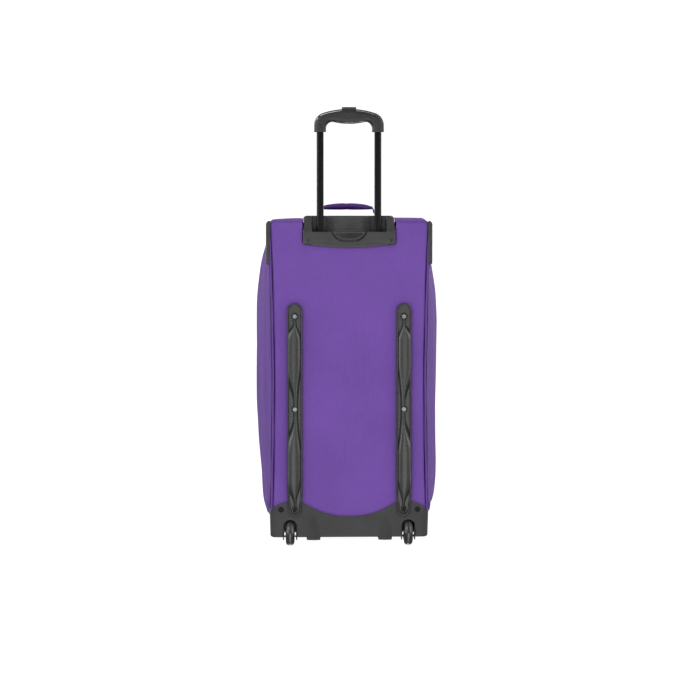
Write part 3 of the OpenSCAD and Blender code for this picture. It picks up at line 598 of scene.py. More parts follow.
def solid(name, field, low, high, step, material, sharp=None):
    """Mesh of the surface where field(x, y, z) is zero, by surface nets, settled onto the surface."""
    axes = [np.arange(a, b + step, step) for a, b in zip(low, high)]
    shape = tuple(len(a) for a in axes)
    x, y, z = np.meshgrid(*axes, indexing="ij", sparse=True)
    value = np.broadcast_to(field(x, y, z), shape).astype(np.float32)
    inside = value < 0
    corners = [(i, j, k) for i in (0, 1) for j in (0, 1) for k in (0, 1)]
    part = [slice(0, -1), slice(1, None)]
    count = sum(inside[part[i], part[j], part[k]].astype(np.int8) for i, j, k in corners)
    cells = np.argwhere((count > 0) & (count < 8))
    ident = np.full(count.shape, -1, np.int32)
    ident[tuple(cells.T)] = np.arange(len(cells))
    at = {c: value[tuple((cells + c).T)] for c in corners}
    total, hits = np.zeros((len(cells), 3)), np.zeros(len(cells))
    for axis in range(3):
        for c in corners:
            if c[axis]:
                continue
            d = tuple(v + (n == axis) for n, v in enumerate(c))
            a, b = at[c], at[d]
            crossed = (a < 0) != (b < 0)
            t = np.where(crossed, a / np.where(crossed, a - b, 1), 0)
            p = np.array(c, float)[None] + np.zeros((len(cells), 1))
            p[:, axis] += t
            total += p * crossed[:, None]
            hits += crossed
    verts = np.array([a[0] for a in axes]) + step * (cells + total / hits[:, None])
    faces = []
    for axis in range(3):
        b, c = (axis + 1) % 3, (axis + 2) % 3
        here, there = [slice(None)] * 3, [slice(None)] * 3
        here[axis], there[axis] = slice(0, -1), slice(1, None)
        low_in, high_in = inside[tuple(here)], inside[tuple(there)]
        edges = np.argwhere(low_in != high_in)
        edges = edges[(edges[:, b] > 0) & (edges[:, c] > 0)
                      & (edges[:, b] < shape[b] - 1) & (edges[:, c] < shape[c] - 1)]
        ring = []
        for sb, sc in ((1, 1), (0, 1), (0, 0), (1, 0)):
            cell = edges.copy()
            cell[:, b] -= sb
            cell[:, c] -= sc
            ring.append(ident[tuple(cell.T)])
        quads = np.stack(ring, 1)
        outward = low_in[tuple(edges.T)]
        quads[~outward] = quads[~outward][:, ::-1]
        faces.append(quads)
    faces = np.concatenate(faces)
    verts = settle(verts, field, step)
    return new_object(name, verts, faces[(faces >= 0).all(1)].tolist(), material, sharp)


def settle(verts, field, step, rounds=4):
    """Moves points along the field's slope onto its zero level, by no more than half a step."""
    start = verts.copy()
    e = step * 0.25
    for _ in range(rounds):
        x, y, z = verts.T
        f = field(x, y, z)
        g = np.stack([
            field(x + e, y, z) - field(x - e, y, z),
            field(x, y + e, z) - field(x, y - e, z),
            field(x, y, z + e) - field(x, y, z - e),
        ], 1) / (2 * e)
        size = np.maximum((g ** 2).sum(1), 0.25)
        verts = verts - g * (f / size)[:, None]
    moved = np.clip(verts - start, -step * 0.5, step * 0.5)
    return start + moved


# ---------------------------------------------------------------- moulded parts


def moulded_pair(names, field, low, high, step, material, slot, body_nodes):
    """Meshes the right one of two like mouldings, mirrors it, and places both on the bag."""
    right = solid(names[0], field, low, high, step, material)
    left = mirrored(right, names[1])
    for obj, node in zip((right, left), body_nodes):
        place(obj, "bag", slot, node)


def tray_top(ax):
    """Height of the tray's back wall: a valley between two humps, which fall to the corners."""
    hill = smooth_min(VALLEY - 0.5 + (HUMP - VALLEY) * (ax / 99) ** 2.2, HUMP, 7)
    return smooth_min(hill, HUMP - (HUMP - CORNER + 3) * (np.maximum(ax - 124, 0) / 42) ** 1.8, 1)


def tray_field(x, y, z):
    """Base tray: a rounded shell with an arched back wall, skid bumps, rail sockets and wheel arches."""
    mid_y, half_y = (TRAY_BACK + TRAY_FRONT) / 2, (TRAY_FRONT - TRAY_BACK) / 2
    lean = np.clip(z - FLOOR, 0, 60) * 0.03 - 0.8
    ax = np.abs(x)
    plan = round_plan(ax - lean, np.abs(y - mid_y), TRAY_HALF, half_y, 14)
    outer = extruded(plan, z, FLOOR, HUMP + 20, 5)
    inner = extruded(plan + 3, z, FLOOR + 3, HUMP + 60, 3)
    shell = np.maximum(outer, -inner)
    cut = np.where(y < TRAY_BACK + 20, (z - tray_top(ax)) * 0.9, z - rim_z(y))
    shell = smooth_max(shell, cut, 1.2)
    width = np.interp(z, [13, 31, 43, 52, 59, 64, 67], [14.8, 13.2, 10.9, 8.4, 5.9, 3.2, 0.4])
    share = np.clip(np.abs(ax - SKID_X) / np.maximum(width, 0.3), 0, 1)
    proud = np.interp(z, [14, 30, 67], [4.4, 3.8, 0.6]) * (1 - share ** 1.3)
    bump = smooth_max((np.abs(ax - SKID_X) - width) * 0.8, TRAY_BACK + 0.4 - proud - y, 0.8)
    bump = np.maximum(bump, y - TRAY_BACK - np.where(z < FLOOR + 3, 26, 2))
    bump = smooth_max(bump, 14.5 - z, 2.5)
    bump = smooth_max(bump, z - 67, 1)
    body = smooth_min(shell, bump, 1.2)
    socket = np.hypot(ax - RAIL_X, np.minimum(z - RAIL_LOW - 12, 0)) - 13.6
    groove = np.abs(socket) - 0.7
    body = smooth_max(body, -smooth_max(groove, y - TRAY_BACK - 0.8, 0.5), 0.6)
    body = smooth_max(body, -(np.hypot(ax - TRAY_SCREW[0], z - TRAY_SCREW[1]) - 5.2
                              + np.maximum(y - TRAY_BACK - 1.9, 0) * 9), 0.8)
    inner = smooth_max(np.abs(ax - WHEEL_X) - WELL_HALF - 2.7,
                       np.hypot(y - WHEEL_Y, np.maximum(z - WHEEL_R, 0)) - WHEEL_R - 5.7, 2)
    body = np.maximum(body, -np.maximum(inner, TRAY_BACK + 2.6 - y))
    arch_half = 14.3
    arch = np.hypot(ax - WHEEL_X, np.maximum(z - WHEEL_R - 28 + arch_half, 0)) - arch_half
    return smooth_max(body, -np.maximum(arch, y - WHEEL_Y), 1.6)


def make_tray():
    seam = TRAY_BACK + 12
    back = solid("base_tray_back", lambda x, y, z: np.maximum(tray_field(x, y, z), y - seam),
                 (-TRAY_HALF - 2, TRAY_BACK - 7, 11), (TRAY_HALF + 2, seam + 2, HUMP + 4), 1.0, MOULDED)
    tub = solid("base_tray_tub", lambda x, y, z: np.maximum(tray_field(x, y, z), seam - y),
                (-TRAY_HALF - 4, seam - 4, 11), (TRAY_HALF + 4, TRAY_FRONT + 4, HUMP + 4), 2.0, MOULDED)
    place(back, "bag", "moulded", "base_tray")
    place(tub, "bag", "moulded", "base_tray")


def wheel_housing_field(x, y, z):
    """Wheel housing: two cheeks under a round roof, open behind and below, with an axle boss."""
    beside = np.abs(x - WHEEL_X)
    low = z - WHEEL_R
    round_up = np.hypot(y - WHEEL_Y, np.maximum(low, 0))
    outer = smooth_max(beside - WELL_HALF - 2.5, round_up - 34.4, 1.5)
    outer = smooth_max(outer, 14 - z, 1)
    outer = smooth_max(outer, TRAY_BACK + 3.1 - y, 1)
    roof = 32
    behind = np.where(low > 0, np.hypot(np.minimum(y - WHEEL_Y, 0) * 0.35, low) - roof, -9)
    space = np.where(y < WHEEL_Y, np.maximum(round_up - 60, behind), round_up - roof)
    inner = np.maximum(beside - WELL_HALF, space)
    body = smooth_max(outer, -inner, 1.2)
    boss = smooth_max(np.hypot(y - WHEEL_Y, low) - 8, beside - WELL_HALF - 4, 1)
    boss = np.maximum(boss, WELL_HALF + 0.6 - beside)
    body = smooth_min(body, boss, 1.2)
    return np.maximum(body, 4.2 - np.hypot(y - WHEEL_Y, low))


def make_wheel_housings():
    reach = WELL_HALF + 6
    moulded_pair(("wheel_housing_right_shell", "wheel_housing_left_shell"), wheel_housing_field,
                 (WHEEL_X - reach, TRAY_BACK - 2, 12), (WHEEL_X + reach, WHEEL_Y + 37, WHEEL_R + 37),
                 0.9, DARK_MOULDED, "moulded", ("wheel_housing_right", "wheel_housing_left"))


def rail_face(v, z):
    """How far the rail's face stands behind the back panel, at v inwards from its middle and height z."""
    top, low = RAIL_TOP - RAIL_HALF, RAIL_LOW + RAIL_HALF
    edge = RAIL_HALF - np.hypot(v, np.maximum(z - top, 0) + np.maximum(low - z, 0))
    rim = RAIL_RIM * (1 - (1 - np.clip(edge / 1.8, 0, 1)) ** 2) ** 0.5
    drop = np.clip((edge - 2.6) / 1.8, 0, 1)
    face = rim - (RAIL_RIM - RAIL_CHANNEL) * drop * drop * (3 - 2 * drop)
    reach = (50, 84, 38)
    swell = np.minimum.reduce([np.clip((np.abs(z - s) - 12) / r, 0, 1) for s, r in zip(RAIL_SCREWS, reach)])
    swell = swell * swell * (3 - 2 * swell)
    middle = np.clip(1 - np.abs(z - RAIL_SCREWS[1]) / 80, 0, 1)
    inner = (3.2 + 3.4 * np.minimum(middle * 2, 1)) * (1 - swell) + 16.4 * swell
    outer = 3.2 * (1 - swell) + 24 * swell
    crest = -3.0 * swell
    k = np.clip(1 - ((v - crest) / np.where(v > crest, inner, outer)) ** 2, 0, 1)
    spine = RAIL_CHANNEL + (RAIL_SPINE - RAIL_CHANNEL) * k ** np.where(v > crest, 0.6, 1.8)
    spine = np.where((z < RAIL_SCREWS[0] - 3) | (z > RAIL_SCREWS[2] + 3), 0, spine)
    face = np.maximum(face, spine)
    for s in RAIL_SCREWS:
        r = np.hypot(v, z - s)
        face = np.where(r < 7.2, np.maximum(face, 10.2 - 2.6 * np.clip((r - 5.6) / 1.6, 0, 1) ** 2), face)
        face = np.where(r < 5.5, np.minimum(face, 6.4 + 2.4 * np.clip((r - 4.9) / 0.6, 0, 1)), face)
    return face


def rail_field(x, y, z):
    """Right skid rail: round at both ends, narrower where its foot stands in the tray's socket."""
    u = x - RAIL_X
    narrow = RAIL_HALF - 4.2 * np.clip((HUMP + 6 - z) / 12, 0, 1)
    low = RAIL_LOW + narrow
    outline = np.hypot(u, np.maximum(z - RAIL_TOP + RAIL_HALF, 0) + np.maximum(low - z, 0)) - narrow
    face = BACK - rail_face(-u * RAIL_HALF / narrow, z)
    body = smooth_max(outline, face - y, 1.0)
    behind = np.where(z < HUMP + 0.4, TRAY_BACK - 0.2, BACK - 0.2)
    return np.maximum(body, y - behind)


def make_rails():
    moulded_pair(("skid_rail_right_moulding", "skid_rail_left_moulding"), rail_field,
                 (RAIL_X - 19, BACK - 14, RAIL_LOW - 2), (RAIL_X + 19, BACK + 2, RAIL_TOP + 2),
                 0.75, RAIL_PLASTIC, "moulded", ("skid_rail_right", "skid_rail_left"))


def shoulder(x, z, half, top, turn):
    """Distance from a rounded upper corner."""
    return np.hypot(np.maximum(x - half + turn, 0), np.maximum(z - top + turn, 0)) - turn


def scoop_depth(x, z):
    """Depth of the finger scoop in the housing's lip: a sunk band, a raised rim, and a sunk middle."""
    right = [(17, LIP_Z - 20.4), (25, LIP_Z - 17), (31, LIP_Z - 11), (37, LIP_Z - 2), (41, LIP_Z + 6)]
    outline = [(-a, b) for a, b in reversed(right)] + [(0, LIP_Z - 21.4)] + right
    inside = -outline_distance(x, z, outline)

    def step(a, b):
        t = np.clip((inside - a) / (b - a), 0, 1)
        return t * t * (3 - 2 * t)

    return 2.8 * step(0, 2.4) - 2.3 * step(3.6, 5.6) + 2.5 * step(7.0, 9.6)


def housing_field(x, y, z):
    """Handle housing: a lip with a finger scoop, two leaning cheeks, an open recess and a front wall."""
    ax = np.abs(x)
    sag = [(0.2, 0.3), (0.4, 1.3), (0.6, 2.9), (0.8, 5.0), (0.93, 6.4), (0.975, 7.4), (1.0, 9)]
    shares = [(-k, h) for k, h in reversed(sag)] + [(0, 0)] + sag
    bottom = [(HOUSING_HALF * k, RECESS_Z - 14.2 + h) for k, h in shares]
    d = outline_distance(x, z, bottom + [(HOUSING_HALF, LIP_Z + 4), (-HOUSING_HALF, LIP_Z + 4)])
    skirt = extruded(d, y, LIP + 1.6, BACK - 0.2, 2.6)
    lean = 1.6 * np.clip((z - RECESS_Z) / 50, 0, 1)
    cup = round_box(ax + lean, y, z, (-HOUSING_HALF, LIP + 2, RECESS_Z - 3),
                    (HOUSING_HALF, CUP, HOUSING_TOP), 4)
    cup = smooth_max(cup, shoulder(ax, z, HOUSING_HALF, HOUSING_TOP, 11), 2)
    slope = (z - LIP_Z - 2 - (y - LIP) * 1.12) * 0.666
    cup = smooth_max(cup, slope, 5)
    body = smooth_min(skirt, cup, 1.5)
    lobe = capsule(ax, y, z, (HOUSING_HALF - 10.2, LIP + 7.4, RECESS_Z - 6),
                   (HOUSING_HALF - 9.6, CUP - 11, HOUSING_TOP - 8), 10, 5.6)
    body = smooth_min(body, smooth_max(lobe, RECESS_Z - 7.4 - z, 4), 1.0)
    above = HOUSING_TOP + 40
    recess = round_box(x, y, z, (-RECESS_HALF, LIP + 5, RECESS_Z), (RECESS_HALF, CUP - 3.5, above), 2.5)
    body = np.maximum(body, -recess)
    notch = round_box(x, y, z, (-RECESS_HALF, LIP - 20, LIP_Z), (RECESS_HALF, CUP - 20, above), 1.5)
    body = smooth_max(body, -notch, 1.4)
    body = smooth_max(body, LIP + 1.6 + scoop_depth(x * 0.94, z) - y + np.where(ax < 44, 0, -99), 0.7)
    for side in (-1, 1):
        hole = round_box(x, y, z, (side * TUBE_X - 12.4, TUBE_Y - 10, RECESS_Z - 12),
                         (side * TUBE_X + 12.4, TUBE_Y + 10, RECESS_Z + 6), 4)
        body = np.maximum(body, -hole)
    return body


def make_housing():
    obj = solid("handle_housing_moulding", housing_field, (-HOUSING_HALF - 3, LIP - 4, RECESS_Z - 17),
                (HOUSING_HALF + 3, CUP + 2, HOUSING_TOP + 2), 0.9, HOUSING_PLASTIC)
    place(obj, "bag", "moulded", "handle_housing")
    ribs = grid("housing_rib_panel",
                lambda u, v: (u, CUP - 4.2 - 0.8 * abs(math.sin(math.pi * v / 3.1)), v),
                np.linspace(-47, 47, 3), np.arange(RECESS_Z + 2, HOUSING_TOP - 2.5, 0.31), HOUSING_PLASTIC)
    modify(ribs, "SOLIDIFY", thickness=0.6 * MM, offset=0)
    place(apply_modifiers(ribs), "bag", "moulded")


def guard_field(x, y, z):
    """Edge guard at the right: an angle round the corner, closed at its top, with a fine rib."""
    low, high = TOP - 88, TOP + 3.5
    outer = round_box(x, y, z, (TRAY_HALF - 2, BACK - 3.6, low), (TRAY_HALF + 8, BACK + 9, high), 4.2)
    inner = round_box(x, y, z, (TRAY_HALF - 40, BACK - 1.8, low - 30),
                      (TRAY_HALF - 3.2, BACK + 40, high + 30), 1.6)
    turn = 10
    corner = shoulder(x, z, TRAY_HALF + 8, high, turn)
    shape = smooth_max(outer, corner, 1)
    body = smooth_max(shape, -inner, 0.5)
    lid = smooth_max(shape, -corner - 1.8, 0.5)
    lid = np.maximum(np.maximum(lid, high - turn - z), y - BACK - 4)
    rib = np.abs(slab(z, low + 6, high - 14)) - 0.4
    return smooth_max(smooth_min(body, lid, 0.5), -np.maximum(rib, -outer - 0.5), 0.3)


def make_edge_guards():
    moulded_pair(("edge_guard_right", "edge_guard_left"), guard_field, (TRAY_HALF - 4, BACK - 6, TOP - 90),
                 (TRAY_HALF + 10, BACK + 11, TOP + 6.5), 0.55, MOULDED, "moulded", ("edge_guards",) * 2)


def grip_arch(x):
    """Height of the grip's top edge, which rises in the middle."""
    return GRIP_TOP + 1.3 - 6 * (x / 46) ** 2


def grip_belly(x):
    """Height of the grip's lower edge, which hangs down in the middle."""
    return GRIP_TOP - 30 + 4.0 * (x / 34) ** 2


def arc_points(cx, cy, r, a, b, n):
    angles = [math.radians(a + (b - a) * i / n) for i in range(n + 1)]
    return [(cx + r * math.cos(t), cy + r * math.sin(t)) for t in angles]


def grip_outline(drop):
    """Front outline of the grip, with its legs lengthened by drop."""
    leg, crook, bend = 25.4, 13, 27
    inner, outer = GRIP_HALF - leg - crook, GRIP_HALF - bend
    over = [(x, grip_arch(x)) for x in np.linspace(46, -46, 13)]
    under = [(x, grip_belly(x)) for x in np.linspace(-32, 32, 17)]
    low = GRIP_LOW - drop
    top, bottom = grip_arch(46) - 28.2, grip_belly(34) - crook
    return (over + arc_points(-outer, top, bend, 104, 180, 10)
            + [(-GRIP_HALF, low), (leg - GRIP_HALF, low)]
            + arc_points(-inner, bottom, crook, 180, 95, 8) + under
            + arc_points(inner, bottom, crook, 85, 0, 8)
            + [(GRIP_HALF - leg, low), (GRIP_HALF, low)]
            + arc_points(outer, top, bend, 0, 76, 10))


GRIP_LINE = grip_outline(30)


def grip_field(side):
    """One half of the grip: side is -1 for the back shell and 1 for the front shell."""
    def field(x, y, z):
        d = outline_distance(x, z, GRIP_LINE)
        out = extruded(d, y, GRIP_Y0, GRIP_Y1, 9.5)
        out = smooth_max(out, GRIP_LOW - z, 1.2)
        away = (y - TUBE_Y) * side
        out = smooth_max(out, 0.12 - away, 0.7)
        cavity = np.maximum(np.maximum(d + 2.4, np.abs(y - TUBE_Y) - 10.4),
                            np.where(np.abs(x) < 34, -99, GRIP_TOP - 22.4 - z))
        out = np.maximum(out, -cavity)
        for s in (-1, 1):
            socket = round_box(x, y, z, (s * TUBE_X - 7.55, TUBE_Y - 5.15, GRIP_LOW - 9),
                               (s * TUBE_X + 7.55, TUBE_Y + 5.15, GRIP_TOP - 20), 3.6)
            out = np.maximum(out, -socket)
        slot = round_box(x, y, z, (-15.8, TUBE_Y - 7.3, GRIP_TOP - 9),
                         (15.8, TUBE_Y + 7.3, GRIP_TOP + 9), 5.8)
        out = smooth_max(out, -slot, 0.6)
        if side > 0:
            hole = np.hypot(np.abs(x) - 44, z - GRIP_TOP + 21) - 3.4
            out = np.maximum(out, -np.maximum(hole, GRIP_Y1 - 2.1 - y))
        return out
    return field


def make_grip():
    """The grip's two shells and the release button on its top."""
    for side, half, y0, y1 in ((-1, "back", GRIP_Y0, TUBE_Y), (1, "front", TUBE_Y, GRIP_Y1)):
        obj = solid(f"grip_shell_{half}", grip_field(side), (-GRIP_HALF - 1.5, y0 - 1.5, GRIP_LOW - 1.5),
                    (GRIP_HALF + 1.5, y1 + 1.5, GRIP_TOP + 3), 0.6, GRIP_PLASTIC)
        place(obj, "grip_stage", "moulded", f"grip_{half}_shell")
    low, high = box_mm("push_button")

    def button(x, y, z):
        out = round_box(x, y, z, low, high, 2.2)
        plan = round_box(x, y, z, (low[0], low[1], low[2] - 20), (high[0], high[1], high[2] + 20), 5.8)
        out = smooth_max(out, plan, 0.8)
        rib = np.abs((x + 2.2) % 4.4 - 2.2) - 0.8
        groove = np.maximum(np.maximum(rib, np.abs(x) - 10), high[2] - 0.7 - z)
        return smooth_max(out, -np.maximum(groove, np.abs(y - TUBE_Y) - 4.2), 0.5)

    obj = solid("release_button_cap", button, low - 1, high + 1, 0.4, BUTTON_PLASTIC)
    place(obj, "release_button", "moulded", "push_button")


def tube_ring(w, d, sign, wall=0.0, n=9):
    """Section of a handle tube: full round at its outer edge, tighter at its inner edge, faces crowned."""
    full, tight = d / 2 - 0.4, 2.4
    out = []
    for sx, sy, start in ((1, 1, 0), (-1, 1, 90), (-1, -1, 180), (1, -1, 270)):
        r = (full if sx == sign else tight) - wall
        w2, d2 = w / 2 - wall, d / 2 - wall
        out += arc_points(sx * (w2 - r), sy * (d2 - r), r, start, start + 90, n)
        if sx == sy:
            (xa, ya), reach = out[-1], sx * (2 * w2 - r - (full + tight - 2 * wall - r))
            out += [(xa - reach * i / 12, ya) for i in range(1, 12)]
    return [(x, y * (1 - 0.03 * (2 * x / w) ** 2)) for x, y in out]


def make_tubes():
    """Handle tubes with full-round edges and a wall that shows at their open ends."""
    for name, body in (("outer_tube", "bag"), ("mid_tube", "mid_stage"), ("inner_tube", "grip_stage")):
        for side in ("left", "right"):
            low, high = box_mm(f"{name}_{side}")
            w, d = high[0] - low[0], high[1] - low[1]
            cx, cy = (low[0] + high[0]) / 2, (low[1] + high[1]) / 2
            ease = 0.25
            levels = [(low[2], -ease), (low[2] + ease, 0), (high[2] - ease, 0), (high[2], -ease)]
            sign = 1 if side == "right" else -1
            rings = [(z, -g) for z, g in levels] + [(z, 1.2 + g) for z, g in reversed(levels)]
            verts = [(cx + a, cy + b, z) for z, wall in rings for a, b in tube_ring(w, d, sign, wall)]
            m = len(tube_ring(w, d, sign))
            obj = new_object(f"{name}_{side}_drawn", verts, wrapped(len(rings), m), TUBE_METAL, sharp=30)
            place(obj, body, "tube", f"{name}_{side}")


def lathe(name, profile, x0, y0, z0, material, n=96):
    """Closed profile of (radius, along X) turned about an axle along X."""
    m = len(profile)
    verts = [(x0 + a, y0 + r * math.cos(2 * math.pi * i / n), z0 + r * math.sin(2 * math.pi * i / n))
             for i in range(n) for r, a in profile]
    return new_object(name, verts, wrapped(n, m), material, sharp=38)


def make_wheels():
    h = WHEEL_HALF
    rolled = [math.radians(a) for a in range(8, 173, 6)]
    tread = [(17.1, -h + 1.2), (17.8, -h + 0.6), (19.6, -h + 0.3)]
    tread += [(WHEEL_R - 8 + 8 * math.sin(a), -h * math.cos(a)) for a in rolled]
    tread += [(19.6, h - 0.3), (17.8, h - 0.6), (17.1, h - 1.2)]
    dish = [(11.02, -h + 1), (12.6, -h + 1), (13.2, -h + 2.6),
            (15.2, -h + 2.6), (15.8, -h + 1.1), (17, -h + 1.1)]
    rim = dish + [(r, -a) for r, a in reversed(dish)]
    race = [(4.03, 0.7), (6.2, 0.7), (6.5, 1.4), (8.6, 1.4), (8.9, 0.7), (10.98, 0.7),
            (10.98, 7.5), (8.9, 7.5), (8.6, 6.9), (6.5, 6.9), (6.2, 7.5), (4.03, 7.5)]
    for side, sign in (("left", -1), ("right", 1)):
        axle, body = (sign * WHEEL_X, WHEEL_Y, WHEEL_R), f"wheel_{side}"
        place(lathe(f"tyre_{side}_tread", tread, *axle, TREAD), body, "tread", f"tyre_{side}")
        place(lathe(f"hub_{side}_dish", rim, *axle, DARK_MOULDED), body, "moulded", f"hub_{side}")
        pair = [lathe(f"race_{k}", [(r, k * a) for r, a in race][::k], *axle, STEEL) for k in (-1, 1)]
        place(joined(f"bearings_{side}_races", pair), body, "steel", f"bearings_{side}")


def foot_field(x, y, z):
    """Both front feet: a ribbed pad below a wider flange."""
    fx, fy = 118, 98
    ax = np.abs(x)
    base = round_box(ax, y, z, (fx - 22, fy - 10, 0), (fx + 22, fy + 10, 14), 4)
    flange = round_box(ax, y, z, (fx - 26, fy - 13, 5), (fx + 26, fy + 13, FLOOR - 0.2), 3)
    body = smooth_min(base, flange, 2)
    rib = np.abs((ax - fx + 3) % 6 - 3) - 0.7
    return smooth_max(body, -np.maximum(np.maximum(rib, z - 0.9), np.abs(ax - fx) - 17), 0.3)


def make_feet():
    moulded_pair(("front_foot_right", "front_foot_left"), foot_field, (90, 83, -1), (146, 113, FLOOR + 1),
                 0.8, FOOT_RUBBER, "foot", ("front_feet",) * 2)


# ---------------------------------------------------------------- soft parts


def wrinkle(a, b, seed, waves):
    """Sum of a few long soft waves over two coordinates in millimetres, from -1 to 1."""
    rng = np.random.default_rng(seed)
    total = 0.0
    for length, weight in waves:
        angle, phase = rng.uniform(0, math.pi), rng.uniform(0, 2 * math.pi)
        along = a * math.cos(angle) + b * math.sin(angle)
        total = total + weight * np.sin(2 * math.pi * along / length + phase)
    return total / sum(w for _, w in waves)


def simulate(obj, pinned, frames, grow, cap, stiffness, bending, pressure=None, gravity=0.0):
    """Runs Cloth on obj, moves each point by no more than cap millimetres, and leaves a plain mesh."""
    start = vertices(obj)
    group = obj.vertex_groups.new(name="held")
    for index in pinned:
        group.add([int(index)], 1.0, "REPLACE")
    cloth = modify(obj, "CLOTH")
    s = cloth.settings
    s.quality = 6
    s.mass = 0.25
    s.tension_stiffness = s.compression_stiffness = stiffness
    s.shear_stiffness = stiffness * 0.5
    s.bending_stiffness = bending
    s.effector_weights.gravity = gravity
    s.shrink_min = -grow
    if len(pinned):
        s.vertex_group_mass = "held"
    if pressure is not None:
        s.use_pressure = True
        s.uniform_pressure_force = pressure
    cloth.collision_settings.use_collision = False
    cloth.point_cache.frame_start, cloth.point_cache.frame_end = 1, frames
    scene = bpy.context.scene
    for number in range(1, frames + 1):
        scene.frame_set(number)
    graph = bpy.context.evaluated_depsgraph_get()
    mesh = bpy.data.meshes.new_from_object(obj.evaluated_get(graph), depsgraph=graph)
    co = np.zeros(len(mesh.vertices) * 3, np.float32)
    mesh.vertices.foreach_get("co", co)
    bpy.data.meshes.remove(mesh)
    obj.modifiers.clear()
    obj.vertex_groups.clear()
    scene.frame_set(1)
    move = co.reshape(-1, 3) - start
    size = np.linalg.norm(move, axis=1, keepdims=True)
    limit = cap * MM
    set_vertices(obj, start + move * (limit * np.tanh(size / limit) / np.maximum(size, 1e-9)))
    return obj


def sewn(obj, body, node, thickness=None):
    """Gives a fabric mesh its thickness and smooths it, and places it on its body, hiding the CAD node it
    stands for.
    """
    if thickness:
        modify(obj, "SOLIDIFY", thickness=thickness * MM, offset=-1)
    modify(obj, "SUBSURF", levels=1, render_levels=1)
    place(apply_modifiers(obj), body, "fabric", node)


def piping_ring(name, y, half, tall, turn, mid, radius, body, shift=None):
    """Closed piping cord on an upright rounded rectangle."""
    path = [(x, y, z) for x, z in ring_path(half, tall, turn, mid, 7)]
    if shift:
        path = [shift(*p) for p in path]
    cord = swept(name, path, circle_section(radius, 12), PIPING_FABRIC, closed=True, up=(0, 1, 0))
    place(cord, body, "piping")


def border_of(obj):
    """Indices of the vertices on an open mesh's edge."""
    mesh = bmesh.new()
    mesh.from_mesh(obj.data)
    found = [v.index for v in mesh.verts if v.is_boundary]
    mesh.free()
    return found


# How full each side is at a height: the right side stays fuller low down, the left sags inwards
FULLNESS = {
    1: ([50, 62, 82, 104, 135, 170, 300, 470, 535, 595, 625, 648, 677],
        [0, 0.3, 0.66, 0.8, 0.91, 0.95, 0.95, 0.93, 0.82, 0.56, 0.35, 0.17, 0]),
    -1: ([50, 62, 82, 104, 135, 165, 225, 300, 400, 500, 535, 595, 625, 648, 677],
         [0, 0.3, 0.54, 0.61, 0.66, 0.73, 0.87, 0.96, 0.98, 0.95, 0.87, 0.64, 0.42, 0.2, 0]),
}


def side_point(sign, u, t):
    """A side panel's face, at shares of its depth and height."""
    y = SIDE_Y0 - 1.6 + (SIDE_Y1 - SIDE_Y0 + 2.6) * u
    z0 = rim_z(y) + 0.6 - 5 * max(0, 1 - u * 7)
    z = z0 + (SIDE_TOP + 1.4 - z0) * t
    base = back_half(z) * (1 - u) + (TRAY_HALF - 1) * u
    near = np.linspace(z - 14, z + 14, 9)
    full = np.interp(near, *FULLNESS[sign]).mean() * min(1, t / 0.03, (1 - t) / 0.03) ** 0.5
    swell = (SIDE_BULGE + 1.0) * max(0, math.sin(math.pi * u)) ** 0.72 * full
    fold = 3.4 * swell / SIDE_BULGE * wrinkle(y * 2.4, z * 0.2, 5 + sign, [(120, 1), (74, 0.9), (47, 0.7)])
    return (sign * (base + swell + fold), y, z)


def make_sides():
    us = 0.5 - 0.5 * np.cos(np.linspace(0, math.pi, 46))
    ts = 0.5 - 0.5 * np.cos(np.linspace(0, math.pi, 92))
    us, ts = 0.6 * us + 0.4 * np.linspace(0, 1, 46), 0.6 * ts + 0.4 * np.linspace(0, 1, 92)
    for side, sign in (("right", 1), ("left", -1)):
        obj = grid(f"side_panel_{side}_fabric", lambda u, v: side_point(sign, u, v), us, ts,
                   PAINTED_SHADE_SIDE_CLOTH, flip=sign < 0)
        simulate(obj, border_of(obj), frames=24, grow=0.022 + 0.004 * (sign < 0), gravity=0.35, cap=5.0,
                 stiffness=9, bending=0.25)
        sewn(obj, "bag", f"side_panel_{side}", thickness=2.6)
        for k, y in enumerate((SIDE_Y0 + 4.5, SIDE_Y1 - 6)):
            u = (y - SIDE_Y0) / (SIDE_Y1 - SIDE_Y0)
            path = [side_point(sign, u, t) for t in np.linspace(0.03, 0.975, 60)]
            seat = on_surface(obj, path, (sign, -0.6 if k == 0 else 0.6, 0))
            stitches(f"side_stitch_{side}_{k}", seat, (sign, 0, 0), "bag", "fabric")


def on_surface(obj, path, direction, lift=0.15):
    """The path's points moved along direction onto the outside of obj."""
    mesh = obj.data
    tree = BVHTree.FromPolygons([v.co for v in mesh.vertices], [p.vertices[:] for p in mesh.polygons])
    d = Vector(direction).normalized()
    out = []
    for p in path:
        start = Vector(p) * MM + d * 0.03
        hit = tree.ray_cast(start, -d, 0.06)[0]
        point = hit if hit is not None else Vector(p) * MM
        out.append(tuple((point + d * lift * MM) / MM))
    return out


# The back and top panels are cut out round the housing, at these shares of their width and depth
HOUSING_WIDE, HOUSING_DEEP = 0.6, 0.14
BACK_TOP = SIDE_TOP + 3.4
# The panels rise this much where they meet at the back's upper edge
CORNER_LIFT = 2.6


def across(s, cut, half):
    """x for a share s from -1 to 1, with the cut-out's edge at the share HOUSING_WIDE."""
    if abs(s) < HOUSING_WIDE:
        return s / HOUSING_WIDE * cut
    return math.copysign(cut + (abs(s) - HOUSING_WIDE) / (1 - HOUSING_WIDE) * (half - cut), s)


